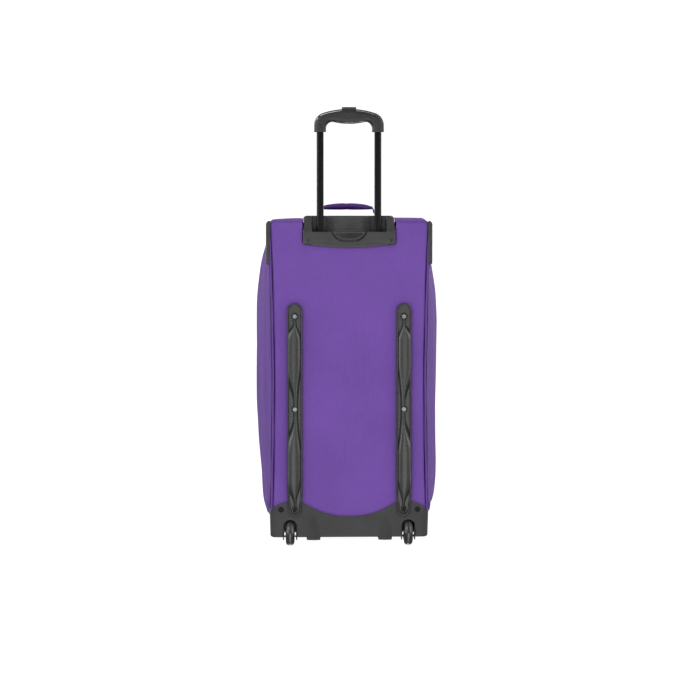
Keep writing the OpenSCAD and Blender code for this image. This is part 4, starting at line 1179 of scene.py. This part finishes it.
def back_point(s, z):
    """Back panel's face: drawn tight over the board, a little fuller between the rails."""
    half = back_half(z) + 0.6
    x = across(s, HOUSING_HALF + 0.4, half)
    middle = max(0, 1 - (x / 92) ** 2) * math.sin(math.pi * min(1, max(0, (z - 60) / 560)))
    sides = math.exp(-((abs(x) - 145) / 9) ** 2)
    rail = math.exp(-((abs(x) - RAIL_X) / 20) ** 4) * (1 if 70 < z < RAIL_TOP else 0)
    puff = 1.5 * middle + 0.7 * sides
    puff += 0.55 * wrinkle(x, z, 11, [(210, 1), (130, 0.8), (90, 0.6)]) * (1 - rail)
    puff += 0.25 * wrinkle(x * 2.4, z * 0.5, 4, [(160, 1), (90, 0.8)]) * (1 - rail)
    edge = half - abs(x)
    roll = 1.6 * max(0, 1 - edge / 5) ** 2
    top = 3.0 * max(0, 1 - (SIDE_TOP + 3.4 - z) / 5) ** 2
    rise = min(1, max(0, (z - float(tray_top(abs(x))) - 1) / 26))
    tuck = 0.5 if rise == 0 else 0
    peak = CORNER_LIFT * max(0, 1 - (BACK_TOP - z) / 16)
    return (x, BACK - 0.05 - max(0, puff) * rise * (2 - rise) + roll + top + tuck, z + peak)


def shares_across(outer, middle):
    """Shares across a panel, with that many points beside and over the housing."""
    left = np.linspace(-1, -HOUSING_WIDE, outer)
    over = np.linspace(-HOUSING_WIDE, HOUSING_WIDE, middle)[1:-1]
    return np.concatenate([left, over, np.linspace(HOUSING_WIDE, 1, outer)])


def make_back():
    cut = RECESS_Z - 3.2
    rows = np.concatenate([np.linspace(FLOOR + 6, cut, 118), np.linspace(cut, BACK_TOP, 10)[1:]])

    def keep(s, z):
        return not (abs(s) < HOUSING_WIDE and z > cut) and not wheel_gap(back_point(s, z))

    obj = grid("back_panel_fabric", back_point, shares_across(16, 42), rows, BACK_FABRIC, keep=keep)
    sewn(obj, "bag", "back_panel", thickness=2.4)


def wheel_gap(p):
    """Whether a point of the back panel lies behind a wheel."""
    return p[2] < WHEEL_R + 38 and abs(abs(p[0]) - WHEEL_X) < WELL_HALF + 6


def top_point(s, t):
    """Top panel's face: crowned, and sunk where the carry handle lies folded."""
    x = across(s, HOUSING_HALF + 0.4, TRAY_HALF - 0.4)
    y0, y1, cut = BACK - 0.2, FRONT + 0.2, CUP + 0.3
    if t < HOUSING_DEEP:
        y = y0 + t / HOUSING_DEEP * (cut - y0)
    else:
        y = cut + (t - HOUSING_DEEP) / (1 - HOUSING_DEEP) * (y1 - cut)
    edge = min(TRAY_HALF - 0.4 - abs(x), y - y0, y1 - y)
    roll = 3.4 * max(0, 1 - edge / 7) ** 2.2
    lift = 8.5 - (4.5 if x < 0 else 0.8) * (abs(x) / TRAY_HALF) ** 2.5
    lift *= min(1, (TRAY_HALF + 0.4 - abs(x)) / (9 if x < 0 else 4)) ** 0.5
    crown = lift * math.sin(math.pi * min(1, max(0, (y - y0) / (y1 - y0)))) ** 0.4
    under = math.exp(-(max(0, abs(x) - 70) / 16) ** 2 - (max(0, abs(y) - 52) / 20) ** 2)
    crown *= 1 - under
    housing = math.exp(-(max(0, abs(x) - HOUSING_HALF) ** 2 + max(0, y - CUP) ** 2) / 260)
    crown *= 1 - 0.7 * housing
    pucker = 0.9 * math.exp(-((x - 118) / 16) ** 2 - ((y + 128) / 26) ** 2) * math.sin(x / 3.4)
    soft = 0.8 * wrinkle(x, y, 21, [(150, 1), (95, 0.8), (60, 0.5)]) * min(1, edge / 20)
    soft *= (1 - housing) * (1 - under)
    peak = CORNER_LIFT * max(0, 1 - (y - y0) / 14)
    return (x, y, TOP - 0.1 + crown + soft + pucker * 0.6 + peak - roll)


def make_top():
    ts = np.concatenate([np.linspace(0, HOUSING_DEEP, 12), np.linspace(HOUSING_DEEP, 1, 60)[1:]])
    obj = grid("top_panel_fabric", top_point, shares_across(20, 44), ts, PAINTED_SHADE_TOP_CLOTH,
               keep=lambda s, t: not (abs(s) < HOUSING_WIDE and t < HOUSING_DEEP))
    sewn(obj, "bag", "top_panel", thickness=2.4)
    edge = TRAY_HALF - 7
    path = [(-edge, BACK + 8), (-edge, FRONT - 6), (edge, FRONT - 6), (edge, BACK + 8)]
    line = [(p[0], p[1], TOP) for p, _ in resampled(path, 4)]
    stitches("top_stitch_0", on_surface(obj, line, (0, 0, 1)), (0, 0, 1), "bag", "fabric")


def make_piping():
    """Fabric-covered cord along both back edges, with its seam allowance, and thin near-black cords of
    painted shadow beside it.
    """
    for side, sign in (("right", 1), ("left", -1)):
        zs = np.linspace(CORNER - 2, SIDE_TOP + 1, 120)
        path = [(sign * (back_half(z) + 2.1 + 0.35 * math.sin(z / 21)), BACK + 0.3, z) for z in zs]
        under = [(sign * (back_half(z) - 2.4), BACK + 1.7, z) for z in zs]
        allowance = swept(f"seam_allowance_{side}", under, flat_section(1.6, 9.6), PIPING_FABRIC,
                          up=(1, 0, 0))
        place(allowance, "bag", "piping")
        cord = swept(f"back_piping_{side}", path, circle_section(2.2, 14), PIPING_FABRIC, up=(0, 1, 0))
        place(cord, "bag", "piping", "back_piping")
        # Near-black cords on both sides of the piping: painted shadow in the seam.
        for k, (out, behind) in enumerate(((-0.7, -0.1), (4.9, 1.1))):
            line = [(sign * (back_half(z) + out + 0.4 * math.sin(z / 34 + k)), BACK + behind, z) for z in zs]
            shadow_cord = swept(f"painted_seam_shadow_{side}_{k}", line, circle_section(0.7, 8), PAINTED_SEAM_SHADOW, up=(0, 1, 0))
            place(shadow_cord, "bag", "piping")
        line = [(sign * (back_half(z) - 2.6), BACK - 0.35, z) for z in zs]
        stitches(f"back_stitch_{side}", line, (0, -1, 0), "bag", "fabric", pitch=3.2)


def tucked(x, y, z):
    """The point, drawn in behind the tray's wall where it lies below the rim."""
    share = min(1, max(0, (LOW_WALL + 1 - z) / 8))
    return (math.copysign(min(abs(x), TRAY_HALF - 2 - 12 * share), x), y - 3 * share, z)


def make_front_piping():
    """Piping round the front border, and the border itself, eased over its edge."""
    half, low, high = TRAY_HALF - 3.3, FLOOR + 4, TOP - 3.8
    mid, tall = (low + high) / 2, high - low

    shares = np.linspace(0, 1, 7)
    outer = even(ring_path(half - 0.2, tall - 0.4, 14, mid, 9), 260)
    inner = even(zip_ring_points(1.5, 9), 260)
    n, m = len(outer), len(shares)
    verts = []
    for i, ((x0, z0), (x1, z1)) in enumerate(zip(outer, inner)):
        for k in shares:
            y = FRONT - 1.2 + math.sin(math.pi * k) ** 0.6 - 1.2 * (1 - k) ** 4 + 0.3 * math.sin(i * 0.55)
            verts.append(tucked(x0 + (x1 - x0) * k, y, z0 + (z1 - z0) * k))
    faces = [[i * m + j, i * m + j + 1, (i + 1) % n * m + j + 1, (i + 1) % n * m + j]
             for i in range(n) for j in range(m - 1)]
    obj = new_object("front_border_fabric", verts, faces, BACK_FABRIC)
    sewn(obj, "bag", "front_border", thickness=1.6)
    piping_ring("front_piping", FRONT - 1.6, half + 1.0, tall + 2, 14, mid, 1.9, "bag", shift=tucked)


# ---------------------------------------------------------------- zips


def zip_ring_points(offset, step):
    """Points round the lid's opening, an offset outside the main zip's line."""
    return ring_path(OPEN_HALF + offset, OPEN_TALL + 2 * offset, 30 + offset, OPEN_MID, step)


def tape(name, y, outer, inner, body, node):
    """Flat zip tape between two offsets from the main zip's line."""
    a, b = zip_ring_points(outer, 8), zip_ring_points(inner, 8)
    m = min(len(a), len(b))
    a, b = even(a, m), even(b, m)
    verts = [p for (x0, z0), (x1, z1) in zip(a, b)
             for p in ((x0, y - 0.25, z0), (x0, y + 0.25, z0), (x1, y + 0.25, z1), (x1, y - 0.25, z1))]
    return place(new_object(name, verts, wrapped(m, 4), TAPE_FABRIC, sharp=40), body, "tape", node)


def even(points, n):
    """n points spaced evenly round a closed line."""
    p = np.array(points + points[:1], float)
    s = np.concatenate([[0], np.cumsum(np.linalg.norm(np.diff(p, axis=0), axis=1))])
    t = np.linspace(0, s[-1], n, endpoint=False)
    return [(np.interp(v, s, p[:, 0]), np.interp(v, s, p[:, 1])) for v in t]


def teeth(name, path, closed, inward, y, body):
    """One side of a zip's coil: small rounded teeth across the line, to its inner or outer side."""
    rows = ((-0.7, 0.42, -0.1, 0.55), (0.5, 0.55, -0.35, 0.85), (2.1, 0.5, -0.3, 0.6))
    verts, faces = [], []
    for p, along in resampled(path, 2.6, closed):
        along = np.array([along[0], along[1]])
        side = np.array([-along[1], along[0]]) * (1 if inward else -1)
        p = p + along * (1.3 if inward else 0)
        base = len(verts)
        for inset, w, low, high in rows:
            c = p + side * inset
            for a, h in ((-w, low), (w, low), (w, high), (-w, high)):
                q = c + along * a
                verts.append((q[0], y + h, q[1]))
        for i in range(2):
            for j in range(4):
                a, b = base + 4 * i + j, base + 4 * i + (j + 1) % 4
                faces.append([a, a + 4, b + 4, b] if inward else [a, b, b + 4, a + 4])
        faces.append([base, base + 1, base + 2, base + 3][::1 if inward else -1])
        faces.append([base + 11, base + 10, base + 9, base + 8][::1 if inward else -1])
    return place(new_object(name, verts, faces, COIL_PLASTIC), body, "tape")


def make_zips():
    y = FRONT + 0.7
    tape("body_zip_tape_woven", y, 6.4, 0.5, "bag", "body_zip_tape")
    tape("lid_zip_tape_woven", y, -0.5, -7.4, "lid", "lid_zip_tape")
    line = zip_ring_points(0, 3)
    teeth("body_zip_coil", line, True, False, y + 0.2, "bag")
    teeth("lid_zip_coil", line, True, True, y + 0.2, "lid")
    body_line = [(x, y + 0.3, z) for x, z in zip_ring_points(4.6, 4)]
    lid_line = [(x, y + 0.3, z) for x, z in zip_ring_points(-4.4, 4)]
    stitches("body_zip_stitch", body_line, (0, 1, 0), "bag", "tape", closed=True, material=TAPE_FABRIC)
    stitches("lid_zip_stitch", lid_line, (0, 1, 0), "lid", "tape", closed=True, material=TAPE_FABRIC)
    low, high = box_mm("pocket_zip_tape")
    mid = (low[2] + high[2]) / 2
    y = LID_FACE + 0.9
    w = high[0] - 3
    section = flat_section(high[2] - low[2], 0.7, 0.25)
    strip = swept("pocket_zip_tape_woven", [(x, y, mid) for x in np.linspace(-w, w, 30)], section,
                  TAPE_FABRIC, up=(0, 1, 0))
    place(strip, "lid", "tape", "pocket_zip_tape")
    line = [(x, mid) for x in np.linspace(-w + 4, w - 4, 60)]
    teeth("pocket_zip_coil_upper", line, False, True, y + 0.5, "lid")
    teeth("pocket_zip_coil_lower", line, False, False, y + 0.5, "lid")
    for k, z in enumerate((mid - 6, mid + 6)):
        line = [(-w, y + 0.45, z), (w, y + 0.45, z)]
        stitches(f"pocket_zip_stitch_{k}", line, (0, 1, 0), "lid", "tape", material=TAPE_FABRIC)


def slider_field(x, y, z):
    """Zip slider about its own origin: a waisted top plate with a raised bridge round the pull's pin."""
    waist = 4.6 - 0.9 * np.exp(-((z - 1.5) / 3) ** 2)
    plate = smooth_max(smooth_max(np.abs(x) - waist, np.abs(z) - 6.4, 2.2), slab(y, 0, 1.9), 0.7)
    flange = smooth_max(np.abs(np.abs(x) - waist + 0.6) - 0.7, np.abs(z) - 5.6, 0.8)
    flange = smooth_max(flange, slab(y, -0.5, 1.2), 0.5)
    body = smooth_min(plate, flange, 0.5)
    walls = np.abs(np.abs(x) - 2.7) - 0.75
    ears = smooth_max(walls, np.hypot(y - 3.1, z + 2) - 2.0, 0.4)
    stem = smooth_max(walls, smooth_max(np.abs(z + 2) - 2, slab(y, 1, 3.2), 0.4), 0.4)
    body = smooth_min(smooth_min(body, ears, 0.6), stem, 0.6)
    pin = np.maximum(np.hypot(y - 3.4, z + 2) - 0.78, np.abs(x) - 3.3)
    return np.minimum(body, pin)


def pull_field(x, y, z):
    """Pull tab: an eye on the slider's pin, a neck, and a ribbed paddle with a hole."""
    t = z + 2
    half = np.interp(t, [-33, -29, -10, -6, 0], [3.4, 3.5, 3.5, 1.7, 1.6])
    paddle = smooth_max(np.abs(x) - half, slab(t, -32.4, 0.6), 1.6)
    paddle = smooth_max(paddle, np.abs(y - 3.5) - 0.85, 0.7)
    eye = smooth_max(np.hypot(y - 3.4, t) - 1.5, np.abs(x) - 1.65, 0.4)
    body = smooth_min(paddle, eye, 0.5)
    body = smooth_max(body, -(np.hypot(x, t + 27.5) - 1.5), 0.5)
    rib = np.abs((t + 1.2) % 2.4 - 1.2) - 0.45
    grooves = np.maximum(np.maximum(rib, np.abs(x) - 2.5),
                         np.maximum(slab(t, -23, -12), 0.55 - np.abs(y - 3.5)))
    body = smooth_max(body, -grooves, 0.3)
    return np.maximum(body, 0.83 - np.hypot(y - 3.4, t))


def on_side(points):
    """Moves a slider from its own origin to the main zip, at the bag's side."""
    return points + (OPEN_HALF, FRONT + 1.6, 372.0)


def over_pocket(points):
    """Turns a slider a quarter and moves it to the pocket's zip."""
    return points[:, [2, 1, 0]] * (1, 1, -1) + (80.0, LID_FACE + 1.5, POCKET_HIGH[2] + 14)


def make_sliders():
    parts = (
        ("slider", "", slider_field, (-6, -1.5, -8), (6, 6.5, 8), SLIDER_METAL),
        ("pull", "_pull", pull_field, (-5, 1, -36), (5, 6, 1.5), MOULDED),
    )
    for kind, moved in (("main", on_side), ("pocket", over_pocket)):
        for part, suffix, field, low, high, material in parts:
            obj = solid(f"{kind}_{part}_cast", field, low, high, 0.3, material)
            set_vertices(obj, moved(vertices(obj) / MM) * MM)
            place(obj, f"{kind}_zip{suffix}", "moulded", f"{kind}_{part}")


# ---------------------------------------------------------------- lid, pocket and carry handle


def pad_mesh(name, half, tall, r, mid, y0, y1, crown, material, soft):
    """Closed pad on an upright rounded rectangle: flat behind, crowned in front, with eased edges."""
    def field(x, y, z):
        ax, az = np.abs(x), np.abs(z - mid)
        plan = round_plan(ax, az, half, tall / 2, r)
        rise = np.where(plan < 0, crown * (1 - np.exp(plan / 26)), 0)
        return smooth_max(smooth_max(plan, y0 - y, 1.0), y - (y1 - crown) - rise, soft)

    margin, step = 8, 5.0
    return solid(name, field, (-half - margin, y0 - margin, mid - tall / 2 - margin),
                 (half + margin, y1 + margin, mid + tall / 2 + margin), step, material)


def sewn_flat(obj, half, mid, tall, level):
    """Presses the padding down to a level where the pocket's zip is sewn on, easing off around it."""
    co = vertices(obj) / MM
    away = np.maximum(np.maximum(np.abs(co[:, 0]) - half, np.abs(co[:, 2] - mid) - tall), 0)
    co[:, 1] = np.minimum(co[:, 1], level + away ** 2 / 70)
    set_vertices(obj, co * MM)


def make_lid():
    """Padded lid with its piping and stitches, pressed flat under the pocket's zip."""
    half, tall = OPEN_HALF - 6.7, OPEN_TALL - 13.4
    obj = pad_mesh("lid_panel_padded", half, tall, 24, OPEN_MID, LID_BACK, LID_FACE + 3.0,
                   crown=3.4, material=BACK_FABRIC, soft=2.5)
    held = [i for i, v in enumerate(vertices(obj) / MM)
            if v[1] < LID_BACK + 1.5 or abs(v[0]) > half - 3 or abs(v[2] - OPEN_MID) > tall / 2 - 3]
    simulate(obj, held, frames=18, pressure=2.5, grow=0.012, cap=3.2, stiffness=10, bending=0.4)
    tape_low, tape_high = box_mm("pocket_zip_tape")
    sewn_flat(obj, tape_high[0] + 4, (tape_low[2] + tape_high[2]) / 2, 12, LID_FACE - 0.2)
    sewn(obj, "lid", "lid_panel")
    ring = [(x, LID_FACE, z) for x, z in ring_path(half - 7, tall - 14, 18, OPEN_MID, 4)]
    stitches("lid_stitch", on_surface(obj, ring, (0, 1, 0)), (0, 1, 0), "lid", "fabric", closed=True)
    piping_ring("lid_piping", LID_FACE - 1.6, half + 0.6, tall + 1.2, 24, OPEN_MID, 1.9, "lid")


def make_pocket():
    """Padded pocket on the lid, with its piping and stitches."""
    low, high = POCKET_LOW, POCKET_HIGH
    mid, tall, half = (low[2] + high[2]) / 2, high[2] - low[2], high[0]
    obj = pad_mesh("front_pocket_padded", half - 1, tall - 2, 22, mid, low[1] + 0.2, high[1] + 0.5,
                   crown=7.5, material=BACK_FABRIC, soft=5)
    held = [i for i, v in enumerate(vertices(obj) / MM)
            if v[1] < low[1] + 4 or abs(v[0]) > half - 3 or abs(v[2] - mid) > tall / 2 - 3]
    simulate(obj, held, frames=20, pressure=3.2, grow=0.02, cap=4.5, stiffness=9, bending=0.3)
    sewn(obj, "lid", "front_pocket")
    ring = [(x, high[1], z) for x, z in ring_path(half - 9, tall - 18, 16, mid, 4)]
    stitches("pocket_stitch", on_surface(obj, ring, (0, 1, 0)), (0, 1, 0), "lid", "fabric", closed=True)
    piping_ring("pocket_piping", low[1] + 1.9, half + 0.4, tall + 0.8, 22, mid, 1.8, "lid")


def eased(corners, n, rounds):
    """n points along a line through the corners, with the bends smoothed that many times."""
    t = np.linspace(0, len(corners) - 1, n)
    line = np.array([np.interp(t, range(len(corners)), values) for values in zip(*corners)])
    for _ in range(rounds):
        line[:, 1:-1] = (line[:, :-2] + line[:, 2:] + 2 * line[:, 1:-1]) / 4
    return line


def make_carry_handle():
    """Padded roll on a strap, pinched a little in the middle and thinner towards its ends."""
    half, top = PAD_HIGH[0] + 9.5, PAD_HIGH[2] + 5

    def field(x, y, z):
        share = np.clip(np.abs(x) / half, 0, 1.1)
        thick = 6.4 * (1 - 0.56 * share ** 2.4) - 0.6 * np.exp(-(x / 5) ** 2)
        wide = 15.6 * (1 - 0.24 * share ** 3) - 1.0 * np.exp(-(x / 6) ** 2)
        mid = top - 7.4 - 2.6 * share ** 2
        oval = (np.hypot(y / wide, (z - mid) / thick) - 1) * thick
        return smooth_max(oval, np.abs(x) - half, 3)

    low, high = (-half - 6, -20, top - 24), (half + 6, 20, top + 6)
    obj = solid("carry_pad_padded", field, low, high, 2.0, PAINTED_SHADE_PAD_CLOTH)
    co = vertices(obj) / MM
    held = [i for i, v in enumerate(co) if abs(v[0]) > half - 3 or v[2] < top - 13 and abs(v[1]) < 5]
    simulate(obj, held, frames=16, pressure=2.2, grow=0.02, cap=1.4, stiffness=8, bending=0.2)
    sewn(obj, "carry_handle", "carry_pad")
    for k, sy in enumerate((-1, 1)):
        line = on_surface(obj, [(x, sy * 10.5, top) for x in np.linspace(-half + 6, half - 6, 24)], (0, 0, 1))
        stitches(f"carry_stitch_{k}", line, (0, 0, 1), "carry_handle", "fabric", pitch=3)
    for side, sign in (("right", 1), ("left", -1)):
        x0, z0 = half - 5.5, top - 10
        curve = [(x0, z0), (x0 + 4, z0 - 0.5), (x0 + 6.4, z0 - 3.6), (x0 + 7, z0 - 10),
                 (ANCHOR_X - 1, SWING_Z + 7), (ANCHOR_X, SWING_Z + 3.2)]
        xs, zs = eased(curve, 26, 4)
        path = [(sign * x, 0, z) for x, z in zip(xs, zs)]
        narrow = [min(1, 0.5 + 0.5 * (z - SWING_Z - 3) / 11) for z in zs]
        strap = swept(f"carry_strap_{side}", path, flat_section(2.2, 24, 0.6), STRAP_FABRIC,
                      up=(0, 1, 0.001), scales=narrow)
        loop = strap_loop(f"carry_loop_{side}", sign)
        place(joined(f"carry_webbing_{side}", [strap, loop]), "carry_handle", "webbing", "carry_webbing")


def strap_loop(name, sign):
    """Sewn end of the strap, wrapped round the anchor's pin."""
    n = 28
    outer, inner = circle_section(4.0, n), circle_section(2.1, n)
    xs = [ANCHOR_X - 5.4, ANCHOR_X + 5.4]
    verts, faces = [], []
    for x in xs:
        for ring in (outer, inner):
            verts += [(sign * x, a, SWING_Z + b) for a, b in ring]
    for i in range(n):
        j = (i + 1) % n
        quads = [[i, j, 2 * n + j, 2 * n + i], [n + j, n + i, 3 * n + i, 3 * n + j],
                 [j, i, n + i, n + j], [2 * n + i, 2 * n + j, 3 * n + j, 3 * n + i]]
        faces += [q[::-1] if sign > 0 else q for q in quads]
    return new_object(name, verts, faces, STRAP_FABRIC, sharp=50)


def make_lid_hinge():
    """Fabric strip that joins the lid to the bag along the left edge."""
    pivot, steps, middle = (-160.0, FRONT + 8.2), 25, 0.36
    line = [(-165.6, FRONT - 0.6), (-165.4, FRONT + 2.6), (-163.4, FRONT + 5.0), (-160.0, FRONT + 5.6),
            (-156.6, FRONT + 5.0), (-154.0, FRONT + 3.2), (-151.6, FRONT + 2.2)]
    xs, ys = eased(line, steps, 3)
    low, high = OPEN_LOW + 34, OPEN_HIGH - 34
    obj = grid("lid_hinge_fabric", lambda i, z: (xs[int(i)], ys[int(i)], z), np.arange(steps),
               np.linspace(low, high, 60), BACK_FABRIC, flip=True)
    modify(obj, "SOLIDIFY", thickness=1.2 * MM, offset=0)
    apply_modifiers(obj)
    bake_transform(obj)


# ---------------------------------------------------------------- CAD nodes that stay


def finish_nodes():
    """Gives every CAD node that still shows its material and lightly eased edges."""
    looks = {
        DARK_MOULDED: ["outer_collars", "mid_collars", "tube_bracket", "handle_anchors"],
        BOARD: ["back_board", "bottom_board"],
        STEEL: ["wheel_axles", "housing_screws", "opening_frame", "grip_screws", "button_spring",
                "push_rods"],
        SCREW_METAL: ["rear_screws"],
        NYLON: ["inner_plugs", "release_yoke"],
        BRASS: ["lock_pin_left", "lock_pin_right"],
        LINING_FABRIC: ["back_lining"],
    }
    for material, names in looks.items():
        for name in names:
            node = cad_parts[name]
            node.data.materials.clear()
            node.data.materials.append(material)
            bevel = modify(node, "BEVEL", width=0.25 * MM, segments=2, limit_method="ANGLE")
            bevel.angle_limit = math.radians(35)


# ---------------------------------------------------------------- stage, light and camera


def make_stage():
    bpy.ops.mesh.primitive_plane_add(size=160, location=(0, 0, 0))
    floor = bpy.context.object
    floor.name = "floor"
    f = Finish("studio_floor", Roughness=0.9, Base_Color=(0.2, 0.2, 0.2, 1), Specular_IOR_Level=0.0,
               Emission_Color=(1, 1, 1, 1), Emission_Strength=0.98)
    floor.data.materials.append(f.material)
    floor.visible_glossy = False
    world = bpy.data.worlds.new("studio")
    bpy.context.scene.world = world
    world.use_nodes = True
    tree = world.node_tree
    soft, mirrored_room = tree.nodes["Background"], tree.nodes.new("ShaderNodeBackground")
    for node in (soft, mirrored_room):
        node.inputs["Color"].default_value = (1, 1, 1, 1)
    soft.inputs["Strength"].default_value = 1.08
    tree.links.new(mirrored_surroundings(tree), mirrored_room.inputs["Strength"])
    path = tree.nodes.new("ShaderNodeLightPath")
    mix = tree.nodes.new("ShaderNodeMixShader")
    tree.links.new(path.outputs["Is Glossy Ray"], mix.inputs["Fac"])
    tree.links.new(soft.outputs[0], mix.inputs[1])
    tree.links.new(mirrored_room.outputs[0], mix.inputs[2])
    tree.links.new(mix.outputs[0], tree.nodes["World Output"].inputs["Surface"])


def mirrored_surroundings(tree):
    """What glossy parts mirror: a bright floor before and behind the bag, and pale walls at its sides."""
    def math_node(operation, *values):
        node = tree.nodes.new("ShaderNodeMath")
        node.operation = operation
        for socket, value in zip(node.inputs, values):
            if isinstance(value, (int, float)):
                socket.default_value = value
            else:
                tree.links.new(value, socket)
        return node.outputs[0]

    def span(value, start, end, low, high):
        node = tree.nodes.new("ShaderNodeMapRange")
        node.interpolation_type = "SMOOTHSTEP"
        tree.links.new(value, node.inputs["Value"])
        for name, number in (("From Min", start), ("From Max", end), ("To Min", low), ("To Max", high)):
            node.inputs[name].default_value = number
        return node.outputs["Result"]

    direction = tree.nodes.new("ShaderNodeTexCoord").outputs["Generated"]
    parts = tree.nodes.new("ShaderNodeSeparateXYZ")
    tree.links.new(direction, parts.inputs[0])
    turn = math_node("ARCTAN2", parts.outputs["X"], math_node("MULTIPLY", parts.outputs["Y"], -1.0))
    off = math_node("ABSOLUTE", math_node("WRAP", turn, math.pi / 2, -math.pi / 2))
    low_front = span(off, math.radians(13), math.radians(24), 3.2, 0.15)
    high_side = span(off, math.radians(18), math.radians(32), 0.08, 1.0)
    above = span(parts.outputs["Z"], -0.078, -0.046, 0.0, 1.0)
    below = math_node("SUBTRACT", 1.0, above)
    return math_node("ADD", math_node("MULTIPLY", low_front, below), math_node("MULTIPLY", high_side, above))


def area_light(name, place_at, target, size, power):
    """Rectangular light aimed at a target."""
    light = bpy.data.lights.new(name, "AREA")
    light.shape = "RECTANGLE"
    light.size, light.size_y = size
    light.energy = power
    obj = bpy.data.objects.new(name, light)
    obj.location = place_at
    obj.rotation_euler = (Vector(target) - Vector(place_at)).to_track_quat("-Z", "Y").to_euler()
    bpy.context.scene.collection.objects.link(obj)
    return obj


def make_lights():
    """Tall softboxes on both sides, seen in glossy parts alone, and soft boxes over both faces."""
    for name, x, y, size, power in (
        ("box_left", -2.0, -1.5, (1.1, 2.2), 26), ("box_right", 2.0, -1.5, (0.6, 2.2), 18),
        ("box_front_left", -2.0, 1.6, (0.8, 2.2), 50), ("box_front_right", 2.0, 1.6, (0.8, 2.2), 50),
    ):
        box = area_light(name, (x, y, 1.0), (0, 0, 0.45), size, power)
        box.visible_diffuse = False
    area_light("high_back", (-0.9, -2.6, 2.0), (0, 0, 0.4), (1.0, 0.7), 10)
    area_light("high_front", (0.9, 2.6, 2.0), (0, 0, 0.4), (1.0, 0.7), 10)


def make_camera():
    camera = bpy.data.cameras.new("camera")
    camera.sensor_width = 36
    camera.lens = 123.4
    obj = bpy.data.objects.new("camera", camera)
    bpy.context.scene.collection.objects.link(obj)
    turn, dip, away = math.radians(-2.2), math.radians(3.6), 5.0
    aim = Vector((0.0015, BACK * MM, 0.4135))
    back = Vector((math.sin(turn) * math.cos(dip), -math.cos(turn) * math.cos(dip), math.sin(dip)))
    obj.location = aim + back * (away / math.cos(dip))
    obj.rotation_euler = (-back).to_track_quat("-Z", "Y").to_euler()
    bpy.context.scene.camera = obj


make_stage()
make_lights()
make_camera()
make_tray()
make_wheel_housings()
make_rails()
make_housing()
make_edge_guards()
make_grip()
make_tubes()
make_wheels()
make_feet()
make_back()
make_sides()
make_top()
make_piping()
make_front_piping()
make_zips()
make_sliders()
make_lid()
make_pocket()
make_carry_handle()
make_lid_hinge()
finish_nodes()

bpy.context.scene.view_settings.view_transform = "Standard"
